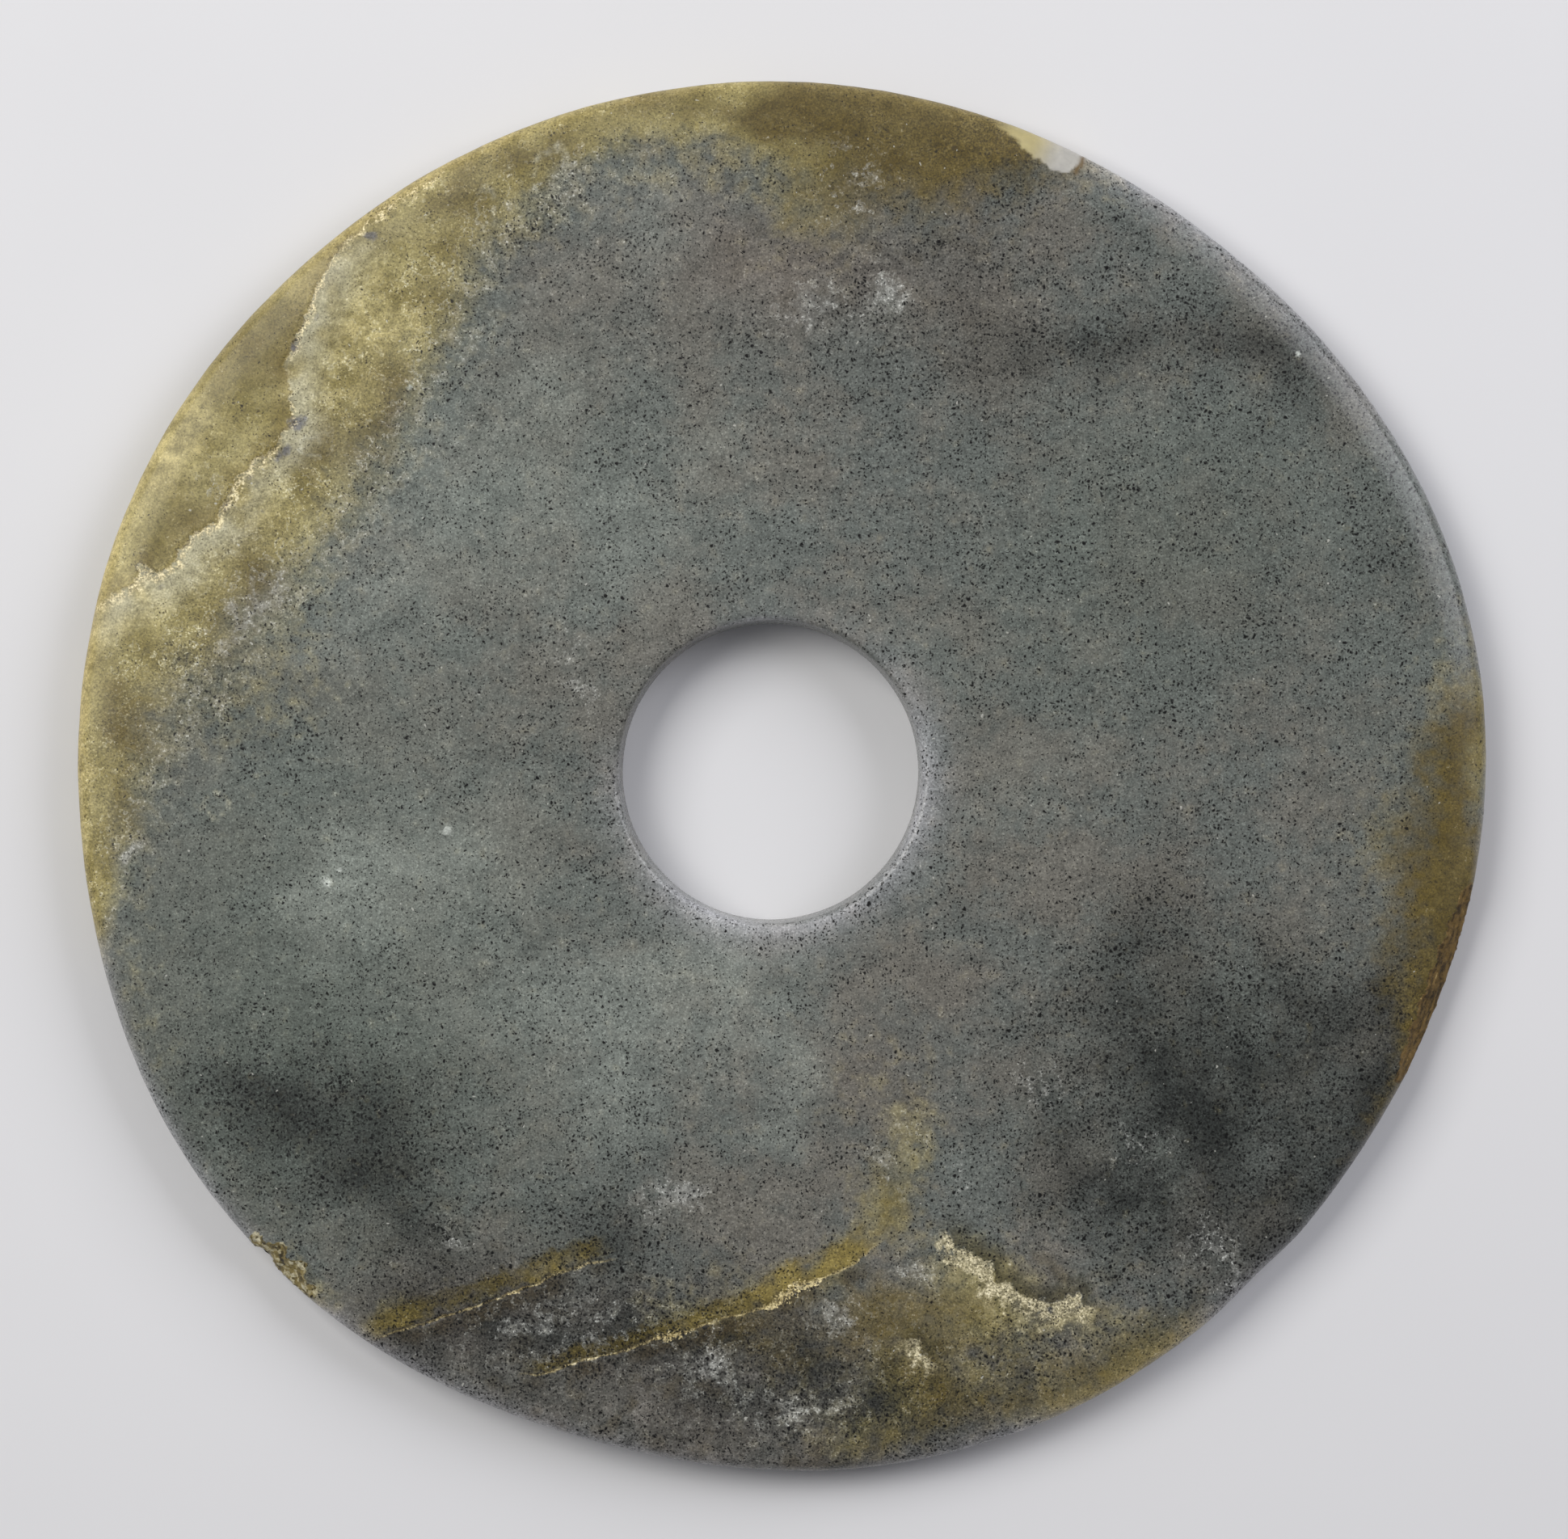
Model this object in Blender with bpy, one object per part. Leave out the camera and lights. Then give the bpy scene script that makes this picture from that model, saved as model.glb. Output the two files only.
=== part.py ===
"""A jade bi disc: a flat ring of speckled grey-green stone with a small round hole, lying flat.

The disc is one stone, cut and ground by hand. Its rim wanders from a true circle, its better
face is slightly crowned, and its edges are ground round. The hole was drilled from both faces,
so it is narrowest halfway through. A chip, a rough stretch of old skin and a shallow flake
break the upper edge, and two fissures cross the lower part of the face.

Lengths are in metres. +Z is the better face, +Y is the disc's top, and the origin is in the
middle of the underside. The shape is first set out about the hole's axis and then centred.
"""

import math

import bmesh
import bpy
from mathutils import Matrix, Vector

MM = 0.001

# Rim, measured from the hole's axis
RIM_RADIUS = 118.6 * MM
RIM_SHIFT = 1.1 * MM  # the rim's circle is this far off the hole's axis
RIM_SHIFT_BEARING = -50.0  # degrees from +X
# Stretches that stand proud of the circle or were ground flatter: bearing, half width, height
RIM_SWELLS = (
    (9.0, 45.0, 3.0 * MM),
    (61.0, 31.0, -0.5 * MM),
    (158.0, 31.0, 0.9 * MM),
    (215.0, 30.0, 1.0 * MM),
    (255.0, 24.0, -1.2 * MM),
    (292.0, 24.0, 0.6 * MM),
    (314.0, 6.0, -0.4 * MM),
)

# Thickness
THICKNESS = 12.0 * MM  # at the hole
CROWN = 1.6 * MM  # how much lower the face is where its shoulder starts
SHOULDER_WIDTH = 7.0 * MM  # the soft slope that leads to the rim
SHOULDER_DROP = 1.2 * MM
RIM_ROUND = 2.4 * MM  # radius of the rim's ground edges
BACK_SHOULDER_WIDTH = 4.0 * MM
BACK_SHOULDER_DROP = 0.5 * MM

# Hole
HOLE_WAIST_RADIUS = 25.2 * MM
HOLE_MOUTH_RADIUS = 25.7 * MM
HOLE_ROUND = 1.3 * MM  # radius of the edges of its mouths

# Fineness of the mesh
BEARINGS = 144
FACE_RINGS = 4
SHOULDER_RINGS = 3
RIM_ROUND_STEPS = 4
BACK_ROUND_STEPS = 3
HOLE_ROUND_STEPS = 3

# Damage to the upper edge: first and last bearing, width on the face, depth down the rim
RIM_CHIP = (222.4, 229.6, 3.0 * MM, 3.6 * MM)
RIM_NOTCH = (222.2, 224.4, 1.2 * MM, 14.0 * MM)
ROUGH_SKIN = (333.6, 351.0, 3.4 * MM, 4.2 * MM)
SHALLOW_FLAKE = (61.5, 70.5, 4.6 * MM, 1.5 * MM)
DAMAGE_SECTIONS = 9  # cross-sections along each piece of damage
DAMAGE_RAGGEDNESS = 0.16  # how much its width varies, as a share of the width
DAMAGE_JITTER = 7.0  # radians: spreads the ragged widths over their range
DAMAGE_END_SHARE = 0.08  # how far into its swell the damage starts and ends
DAMAGE_FULLNESS = 0.6  # below 1 keeps the damage wide until close to its ends

# Fissures on the face, as routes about the hole's axis
FISSURE_WIDTH = 1.0 * MM
FISSURE_DEPTH = 0.6 * MM
FISSURE_END_DEPTH = 0.2 * MM
FISSURES_MM = {
    "short_fissure": ((-64.0, -95.3), (-55.8, -92.7), (-44.9, -88.8), (-36.2, -85.2), (-25.3, -82.4)),
    "long_fissure": (
        (-43.4, -101.9),
        (-32.6, -100.0),
        (-18.9, -96.0),
        (-7.5, -92.5),
        (3.0, -88.3),
        (11.8, -84.7),
        (19.8, -79.0),
    ),
}

CUTTER_REACH = 2.0 * MM  # how far a cutter stands clear of the stone that it cuts
SHARP_ANGLE = math.radians(35)

JADE_COLOUR = (0.135, 0.150, 0.125, 1.0)
JADE_ROUGHNESS = 0.32


def clear_scene():
    """Removes whatever the scene holds at the start."""
    for item in list(bpy.data.objects):
        bpy.data.objects.remove(item, do_unlink=True)


def jade_material():
    """Polished grey-green nephrite."""
    material = bpy.data.materials.new("speckled_jade")
    material.use_nodes = True
    shader = material.node_tree.nodes["Principled BSDF"]
    shader.inputs["Base Color"].default_value = JADE_COLOUR
    shader.inputs["Roughness"].default_value = JADE_ROUGHNESS
    shader.inputs["Metallic"].default_value = 0.0
    return material


def rim_radius(bearing):
    """Distance from the hole's axis to the rim at a bearing in degrees."""
    radius = RIM_RADIUS + RIM_SHIFT * math.cos(math.radians(bearing - RIM_SHIFT_BEARING))
    for middle, half_width, height in RIM_SWELLS:
        away = (bearing - middle + 180.0) % 360.0 - 180.0
        if abs(away) < half_width:
            radius += height * math.cos(math.pi / 2 * away / half_width) ** 2
    return radius


def smooth_step(share):
    """Goes from 0 to 1 with a level start and end."""
    return share * share * (3.0 - 2.0 * share)


def face_height(bearing, radius):
    """Height of the better face, without its rounded edges."""
    mouth = HOLE_MOUTH_RADIUS + HOLE_ROUND
    shoulder = rim_radius(bearing) - SHOULDER_WIDTH
    share = min(max((radius - mouth) / (shoulder - mouth), 0.0), 1.0)
    height = THICKNESS - CROWN * share**2
    fall = min(max((radius - shoulder) / SHOULDER_WIDTH, 0.0), 1.0)
    return height - SHOULDER_DROP * smooth_step(fall)


def place(bearing, radius, height):
    """The point at a bearing in degrees, a radius and a height about the hole's axis."""
    angle = math.radians(bearing)
    return Vector((radius * math.cos(angle), radius * math.sin(angle), height))


def quarter_round(steps):
    """Shares (along, down) of a quarter circle that starts level and ends upright."""
    angles = [math.pi / 2 * step / steps for step in range(steps + 1)]
    return [(math.sin(angle), 1.0 - math.cos(angle)) for angle in angles]


def disc_section(bearing):
    """The closed outline (radius, height) of the stone cut through at a bearing.

    It starts at the hole's upper mouth and runs out over the face, down the rim, back along
    the underside and up the hole.
    """
    rim = rim_radius(bearing)
    mouth = HOLE_MOUTH_RADIUS + HOLE_ROUND
    shoulder = rim - SHOULDER_WIDTH
    edge = rim - RIM_ROUND
    outline = []
    for ring in range(FACE_RINGS):
        outline.append(mouth + (shoulder - mouth) * ring / FACE_RINGS)
    for ring in range(SHOULDER_RINGS):
        outline.append(shoulder + (edge - shoulder) * ring / SHOULDER_RINGS)
    points = [(radius, face_height(bearing, radius)) for radius in outline]
    edge_height = face_height(bearing, edge)
    for along, down in quarter_round(RIM_ROUND_STEPS):
        points.append((edge + RIM_ROUND * along, edge_height - RIM_ROUND * down))
    for along, up in reversed(quarter_round(BACK_ROUND_STEPS)):
        points.append((edge + RIM_ROUND * along, BACK_SHOULDER_DROP + RIM_ROUND * up))
    points.append((edge - BACK_SHOULDER_WIDTH, 0.0))
    for along, up in quarter_round(HOLE_ROUND_STEPS):
        points.append((mouth - HOLE_ROUND * along, HOLE_ROUND * up))
    points.append((HOLE_WAIST_RADIUS, THICKNESS / 2))
    for along, down in reversed(quarter_round(HOLE_ROUND_STEPS)[1:]):
        points.append((mouth - HOLE_ROUND * along, THICKNESS - HOLE_ROUND * down))
    return points


def new_object(name, mesh_data):
    """An object of a bmesh, linked to the scene."""
    mesh = bpy.data.meshes.new(name)
    mesh_data.to_mesh(mesh)
    mesh_data.free()
    item = bpy.data.objects.new(name, mesh)
    bpy.context.scene.collection.objects.link(item)
    return item


def bridged(name, loops, closed):
    """A solid of cross-sections joined one to the next, capped at both ends or joined up."""
    mesh_data = bmesh.new()
    rows = [[mesh_data.verts.new(point) for point in loop] for loop in loops]
    count = len(rows[0])
    pairs = list(zip(rows, rows[1:]))
    if closed:
        pairs.append((rows[-1], rows[0]))
    for first, second in pairs:
        for corner in range(count):
            following = (corner + 1) % count
            mesh_data.faces.new((first[corner], second[corner], second[following], first[following]))
    if not closed:
        mesh_data.faces.new(rows[0])
        mesh_data.faces.new(reversed(rows[-1]))
    bmesh.ops.recalc_face_normals(mesh_data, faces=mesh_data.faces)
    return new_object(name, mesh_data)


def make_disc():
    """The whole stone, before its damage."""
    loops = []
    for step in range(BEARINGS):
        bearing = 360.0 * step / BEARINGS
        loops.append([place(bearing, radius, height) for radius, height in disc_section(bearing)])
    disc = bridged("disc", loops, closed=True)
    disc.data.materials.append(jade_material())
    return disc


def damage_cutter(name, first, last, width, depth):
    """A wedge along the rim that breaks its upper edge, ragged and tapering at both ends."""
    loops = []
    for section in range(DAMAGE_SECTIONS):
        share = section / (DAMAGE_SECTIONS - 1)
        bearing = first + (last - first) * share
        along = DAMAGE_END_SHARE + (1.0 - 2.0 * DAMAGE_END_SHARE) * share
        swell = math.sin(math.pi * along) ** DAMAGE_FULLNESS
        ragged = 1.0 + DAMAGE_RAGGEDNESS * math.sin(DAMAGE_JITTER * section**2)
        inset = width * swell * ragged
        fall = depth * swell
        rim = rim_radius(bearing)
        top = face_height(bearing, rim - inset)
        slope = fall / inset
        inner = rim - inset - CUTTER_REACH / max(slope, 1.0)
        outer = rim + CUTTER_REACH
        loops.append(
            [
                place(bearing, inner, top + slope * (rim - inset - inner)),
                place(bearing, outer, top - slope * (outer - rim + inset)),
                place(bearing, outer, THICKNESS + CUTTER_REACH),
            ]
        )
    return bridged(name, loops, closed=False)


def fissure_cutter(name, route):
    """A thin V-shaped trough that follows a route over the face and runs out at its ends."""
    loops = []
    for index, (x, y) in enumerate(route):
        point = Vector((x * MM, y * MM))
        before = Vector(route[max(index - 1, 0)])
        after = Vector(route[min(index + 1, len(route) - 1)])
        forward = (after - before).normalized()
        across = Vector((-forward.y, forward.x))
        at_end = index in (0, len(route) - 1)
        depth = FISSURE_END_DEPTH if at_end else FISSURE_DEPTH
        bearing = math.degrees(math.atan2(point.y, point.x))
        top = face_height(bearing, point.length)
        half = FISSURE_WIDTH / 2 * (depth + CUTTER_REACH) / FISSURE_DEPTH
        left = point + across * half
        right = point - across * half
        loops.append(
            [
                Vector((left.x, left.y, top + CUTTER_REACH)),
                Vector((point.x, point.y, top - depth)),
                Vector((right.x, right.y, top + CUTTER_REACH)),
            ]
        )
    return bridged(name, loops, closed=False)


def cut(stone, cutter):
    """Takes a cutter's shape out of the stone."""
    cutter.hide_render = True
    cutter.display_type = "WIRE"
    boolean = stone.modifiers.new(cutter.name, "BOOLEAN")
    boolean.operation = "DIFFERENCE"
    boolean.solver = "EXACT"
    boolean.object = cutter


def centre(items, stone):
    """Moves everything so that the stone's outline is centred on the origin."""
    xs = [vertex.co.x for vertex in stone.data.vertices]
    ys = [vertex.co.y for vertex in stone.data.vertices]
    shift = Vector(((min(xs) + max(xs)) / -2, (min(ys) + max(ys)) / -2, 0.0))
    for item in items:
        item.data.transform(Matrix.Translation(shift))


def main():
    clear_scene()
    disc = make_disc()
    cutters = [
        damage_cutter("rim_chip_cutter", *RIM_CHIP),
        damage_cutter("rim_notch_cutter", *RIM_NOTCH),
        damage_cutter("rough_skin_cutter", *ROUGH_SKIN),
        damage_cutter("shallow_flake_cutter", *SHALLOW_FLAKE),
    ]
    for name, route in FISSURES_MM.items():
        cutters.append(fissure_cutter(name + "_cutter", route))
    centre([disc, *cutters], disc)
    for cutter in cutters:
        cut(disc, cutter)
    disc.data.shade_smooth()
    disc.data.set_sharp_from_angle(angle=SHARP_ANGLE)


main()
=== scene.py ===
"""The looks of a jade bi disc: a flat ring of speckled grey-green stone, lying on a pale floor.

The stone is one mesh that follows the CAD disc. Its face is triangulated finely along the
fissures and the broken places, so that they are real relief. Each point of the mesh also carries
a few numbers, such as how much olive skin covers it or how far it is from a fissure, and the
stone's material works out its colours from them.

Shapes and places are in millimetres about the origin, which is in the middle of the underside.
Bearings are in degrees from +X about the hole's axis.
"""

import math

import bpy
import numpy as np
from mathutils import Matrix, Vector, geometry, noise


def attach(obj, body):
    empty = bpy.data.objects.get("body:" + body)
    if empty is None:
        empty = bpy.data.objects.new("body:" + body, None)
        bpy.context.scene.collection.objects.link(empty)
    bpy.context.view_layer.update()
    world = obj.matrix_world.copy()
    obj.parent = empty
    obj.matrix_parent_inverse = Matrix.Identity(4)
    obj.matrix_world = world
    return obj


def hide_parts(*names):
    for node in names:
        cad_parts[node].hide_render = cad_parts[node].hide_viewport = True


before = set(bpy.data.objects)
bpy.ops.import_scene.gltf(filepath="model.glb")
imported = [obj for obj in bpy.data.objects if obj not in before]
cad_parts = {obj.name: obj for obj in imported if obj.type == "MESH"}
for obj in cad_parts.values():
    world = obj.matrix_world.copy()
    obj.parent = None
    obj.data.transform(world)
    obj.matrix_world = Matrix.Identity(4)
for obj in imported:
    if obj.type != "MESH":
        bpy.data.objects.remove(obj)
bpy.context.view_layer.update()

MM = 0.001

# --- The disc's dimensions, as in the CAD model

RIM_RADIUS = 118.6
RIM_SHIFT = 1.1
RIM_SHIFT_BEARING = -50.0
# Where the rim stands out or in: bearing, half the width in degrees, and height
RIM_SWELLS = (
    (9.0, 45.0, 3.0),
    (61.0, 31.0, -0.5),
    (158.0, 31.0, 0.9),
    (215.0, 30.0, 1.0),
    (255.0, 24.0, -1.2),
    (292.0, 24.0, 0.6),
    (314.0, 6.0, -0.4),
)
THICKNESS = 12.0
CROWN = 1.6
SHOULDER_WIDTH = 7.0
SHOULDER_DROP = 1.2
RIM_ROUND = 2.4
RIM_FIRST_SLOPE = 13.0  # degrees, where the face's fall meets the rim's round
BACK_SHOULDER_WIDTH = 4.0
BACK_SHOULDER_DROP = 0.5
HOLE_WAIST_RADIUS = 25.2
HOLE_MOUTH_RADIUS = 25.7
HOLE_ROUND = 1.3
MOUTH = HOLE_MOUTH_RADIUS + HOLE_ROUND
CAD_BEARINGS = 144  # how many points the CAD model's outline has

# How strongly a painted glow, for light showing through the edges, pales the rim: bearing and share
# of the most
RIM_PAINTED_GLOW = (
    (7, 0.1), (20, 0.05), (37, 0.45), (52, 0.6), (66, 0.65), (71, 0.3), (80, 0.35), (90, 0.4),
    (103, 0.5), (118, 0.7), (142, 0.25), (157, 0.5), (172, 1.0), (188, 0.45), (230, 0.7), (260, 0.45),
    (275, 0.0), (290, 0.75), (307, 0.7), (320, 0.1), (350, 0.1),
)
# The same painted glow at the hole's mouth: bearing and share of the most
HOLE_PAINTED_GLOW = (
    (10, 0.7), (30, 0.5), (50, 0.2), (80, 0.1), (160, 0.05), (190, 0.4), (210, 0.35),
    (230, 0.75), (250, 1.0), (290, 0.9), (310, 0.75), (330, 0.75), (350, 1.0),
)
RIM_PAINTED_GLOW_MOST = 0.6
RIM_PAINTED_GLOW_DEPTH = 1.75  # how far in from the rim it fades
HOLE_PAINTED_GLOW_MOST = 0.52
HOLE_PAINTED_GLOW_DEPTH = 3.3
CREAM_AND_LIT_RIM_BEARING = 148.0  # about which the rim's skin is paler cream: partly its own cream, partly painted light towards the key lamp
# Painted highlight where the hole's edge catches the light: bearing and strength
HOLE_PAINTED_HIGHLIGHT = ((12, 0.25), (95, 0.3), (190, 0.12), (245, 0.45), (342, 0.42))

# Damage to the upper edge: first and last bearing, width on the face, depth down the rim,
# roughness of the break and size of its lumps
DAMAGE = {
    "chip": (221.7, 229.0, 3.8, 3.6, 0.45, 1.5),
    "notch": (222.7, 224.9, 1.2, 14.0, 0.35, 1.3),
    "skin": (333.6, 351.0, 3.4, 4.2, 0.22, 1.1),
    "flake": (61.5, 70.5, 4.6, 1.5, 0.06, 2.5),
}
DAMAGE_END_SHARE = 0.08  # how abruptly a break begins and ends
DAMAGE_FULLNESS = 0.6  # how soon it reaches its full width
# The pale mark of the flake: first and last bearing, and width
FLAKE_FIRST = 62.6
FLAKE_LAST = 71.5
FLAKE_WIDTH = 4.8
BREAK_BLEND = 0.12  # how far above a break the stone begins to look broken
UNBROKEN = 99.0  # a height above the whole stone

# --- Routes of the fissures over the face, about the origin

LEFT_FISSURE = (
    (-116.4, 28.9), (-113.2, 31.0), (-110.1, 32.7), (-108.7, 35.2), (-106.2, 34.1),
    (-102.7, 36.3), (-102.0, 39.0), (-99.3, 41.5), (-96.1, 42.9), (-95.3, 45.3),
    (-93.4, 48.8), (-91.2, 51.6), (-89.4, 53.7), (-85.6, 55.8), (-83.5, 60.0),
    (-83.2, 62.5), (-84.6, 69.7), (-82.8, 73.3), (-81.6, 76.7), (-80.2, 79.2),
    (-79.3, 82.3), (-77.9, 85.2), (-76.1, 88.6), (-72.0, 92.9), (-69.8, 94.9),
    (-67.5, 97.0), (-58.0, 102.6),
)
SHORT_FISSURE = (
    (-71.5, -96.2), (-68.0, -95.4), (-64.6, -94.2), (-61.4, -93.3), (-57.8, -92.0),
    (-54.2, -90.8), (-50.5, -89.5), (-46.9, -88.1), (-44.2, -87.2), (-41.0, -86.0),
    (-38.2, -84.5), (-35.1, -83.6), (-32.8, -82.6), (-29.6, -82.2), (-27.3, -81.7),
)
LONG_FISSURE = (
    (-45.4, -101.2), (-41.6, -101.9), (-37.9, -100.8), (-34.6, -99.3), (-31.3, -98.6),
    (-27.5, -97.9), (-23.7, -96.5), (-20.9, -95.3), (-16.6, -94.6), (-13.3, -93.2),
    (-9.5, -91.8), (-5.8, -91.1), (-2.9, -90.4), (-0.6, -89.2), (2.2, -86.4),
    (6.0, -85.6), (9.8, -84.0), (12.6, -82.6), (15.0, -80.2), (17.8, -78.3),
)
LEDGE = (
    (25.6, -76.3), (27.6, -77.1), (29.1, -78.6), (29.9, -80.2), (32.2, -80.7),
    (33.7, -81.9), (35.3, -82.5), (36.0, -84.8), (36.4, -86.3), (38.7, -86.1),
    (39.3, -87.6), (41.4, -88.4), (44.1, -89.0), (45.2, -90.0), (47.2, -89.2),
    (48.7, -88.0), (50.4, -88.0), (50.8, -90.0), (52.9, -90.0), (54.5, -90.9),
)
LOW_LEDGE = ((19.1, -95.5), (22.9, -95.9), (23.6, -97.4), (25.6, -99.3), (27.5, -100.6))
ROUTES = {
    "left": LEFT_FISSURE,
    "short": SHORT_FISSURE,
    "long": LONG_FISSURE,
    "ledge": LEDGE,
    "low_ledge": LOW_LEDGE,
}

# --- Soft spots on the face: x, y, long radius, short radius, angle, strength
# The long lists go round the face: left, top, right, middle, bottom.

# Darker, smoky places
SMOKE_SPOTS = (
    # left
    (-102, 20, 8, 9, 0, 0.2), (-94, 15, 6, 8, 0, 0.12), (-95, 12, 8, 8, 0, 0.2),
    (-100, -3, 9, 8, 0, 0.14), (-96, -33, 14, 4, 0, 0.08), (-95, -52, 14, 10, -20, 0.28),
    (-74, -56, 22, 9, 0, 0.1), (-74, -56, 26, 12, 0, 0.36), (-76, -66, 16, 11, -25, 0.24),
    (-88, -72, 12, 8, -50, 0.1),
    # top
    (-44, 94, 6, 8, 0, 0.22), (-41, 98, 7, 8, 0, 0.25), (-5, 103, 9, 4, 0, 0.2),
    (8, 112, 10, 4, 0, 0.2), (28, 108, 16, 6, -8, 0.36), (28, 90, 9, 13, 0, 0.2),
    (35, 107, 10, 7, 0, 0.65), (48, 88, 16, 8, 0, 0.12), (58, 93, 6, 6, 0, 0.12),
    (74, 90, 16, 8, -40, 0.1),
    # right
    (84, 71, 9, 4, 0, 0.14), (88, 70, 14, 14, 0, 0.22), (78, 44, 40, 34, 0, 0.07),
    (104, 38, 6, 12, 0, 0.22), (72, 32, 16, 14, 0, 0.12), (80, 30, 60, 70, 0, 0.07),
    (112, -5, 5, 12, 0, 0.14), (88, -28, 14, 8, 0, 0.1), (104, -33, 6, 6, 0, 0.4),
    (98, -42, 14, 9, 0, 0.28), (90, -46, 24, 16, 0, 0.34), (70, -50, 17, 11, 65, 0.34),
    (99, -55, 5, 9, -30, 0.2), (106, -56, 12, 8, 60, 0.28), (78, -66, 30, 22, -20, 0.26),
    (97, -68, 8, 12, -35, 0.16), (74, -70, 22, 12, 30, 0.3), (94, -72, 12, 12, 0, 0.2),
    # middle
    (-66, -70, 20, 12, -20, 0.2), (-30, -66, 12, 8, 0, 0.14), (-29, 10, 6, 12, 0, 0.22),
    (10, 62, 60, 4, 0, 0.06), (30, 74, 36, 26, 0, 0.15), (35, 73, 60, 5, -1, 0.16),
    (43, 73, 9, 4, 0, 0.2), (52, -70, 16, 14, 0, 0.38), (52, -54, 16, 12, 0, 0.2),
    (52, -42, 14, 10, 0, 0.2), (54, -71, 5, 4, 0, 0.2), (60, 74, 36, 8, 0, 0.1),
    (62, -26, 14, 10, 30, 0.14), (62, -28, 16, 9, 70, 0.26), (64, 73, 13, 5, 0, 0.12),
    # bottom
    (-70, -90, 10, 6, 30, 0.22), (-66, -79, 6, 5, 0, 0.22), (-63, -77, 10, 7, -40, 0.32),
    (-58, -96, 12, 5, 20, 0.2), (-52, -92, 24, 12, 20, 0.32), (-50, -89, 14, 5, 15, 0.36),
    (-33, -97, 14, 5, 5, 0.3), (-29, -76, 9, 6, 0, 0.5), (-20, -90, 26, 10, 15, 0.3),
    (-11, -94, 4, 4, 0, 0.6), (-10, -92, 14, 7, 0, 0.14), (-5, -106, 60, 14, 0, 0.3),
    (0, -95, 12, 4, -10, 0.12), (6, -95, 6, 4, 0, 0.25), (10, -104, 40, 12, 5, 0.28),
    (12, -109, 8, 5, 0, 0.15), (14, -99, 9, 7, -40, 0.12), (20, -113, 16, 4, 10, 0.2),
    (22, -102, 8, 5, 0, 0.4), (38, -95, 6, 5, 0, 0.3), (45, -102, 9, 5, 20, 0.15),
    (68, -92, 12, 8, 30, 0.2), (70, -79, 8, 5, 0, 0.15), (86, -84, 14, 9, 30, 0.3),
)
# Paler, milky places
MILK_SPOTS = (
    # left
    (-74, 26, 14, 12, 0, 0.16), (-78, -19, 10, 8, 20, 0.2),
    # top
    (-22, 95, 13, 16, 0, 0.25),
    # middle
    (-66, 0, 24, 26, 0, 0.14), (-62, -21, 24, 15, 10, 0.26), (-60, -12, 26, 9, 22, 0.12),
    (-55, 50, 30, 20, 20, 0.32), (-50, 36, 30, 14, 0, 0.08), (-45, -38, 12, 7, 0, 0.22),
    (-38, 66, 6, 5, 0, 0.25), (-30, 32, 12, 9, 0, 0.14), (-30, -57, 13, 9, 0, 0.24),
    (-20, -40, 32, 18, 20, 0.28), (-20, 32, 18, 8, 0, 0.08), (-17, 45, 22, 12, 0, 0.2),
    (-16, -34, 20, 11, 20, 0.22), (-7, 57, 5, 5, 0, 0.2), (-2, -61, 6, 5, 0, 0.3),
    (2, -50, 8, 7, 0, 0.32), (18, 78, 4, 6, 0, 0.3), (30, -66, 6, 5, 0, 0.22),
    (30, 20, 24, 16, 0, 0.08), (34, -8, 12, 12, 0, 0.12), (45, 0, 16, 6, 10, 0.14),
    (46, -61, 6, 5, 0, 0.22), (48, -48, 5, 5, 0, 0.22), (60, 55, 22, 8, 0, 0.12),
    (63, -66, 8, 9, 0, 0.85),
    # bottom
    (54, -87, 6, 4, 0, 0.2),
)
# Warmer and greener places in the ground
MAUVE_SPOTS = (
    (16, 86, 26, 9, 0, 0.8), (-12, 90, 18, 12, 0, 0.35), (0, -104, 70, 16, 0, 0.8),
    (60, -36, 50, 50, 0, 0.1), (-55, -92, 18, 8, 15, 0.7), (14, -50, 18, 10, 30, 0.5),
    (110, -30, 12, 30, 0, 0.3), (-12, 78, 40, 14, 0, 0.3),
)
GREEN_SPOTS = (
    (-84, -26, 45, 50, 0, 0.8), (-50, 60, 40, 30, 0, 0.4), (80, 45, 30, 25, 0, 0.45),
    (52, 32, 26, 30, 0, 0.4), (-75, -60, 35, 20, 0, 0.5), (75, -45, 25, 20, 0, 0.4),
    (105, 0, 12, 30, 0, 0.3),
)
# The middle of the olive skin's inner edge, from the left rim over the top
OLIVE_EDGE = (
    (-119, -26), (-115, -17), (-113, -8), (-110, 0), (-107, 6.5), (-101.5, 12), (-97, 19),
    (-93, 28), (-87, 34.5), (-81, 40.5), (-76.5, 47), (-72, 53), (-67.5, 59), (-62.5, 66),
    (-59, 73), (-56, 79.5), (-52.5, 87), (-49.5, 93.5), (-45, 99.5), (-36, 105.5), (-26, 109),
    (-14, 110), (-5, 107.5), (2, 104), (10, 102), (20, 104), (36, 104), (43, 107), (52, 108.5),
)
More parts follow.
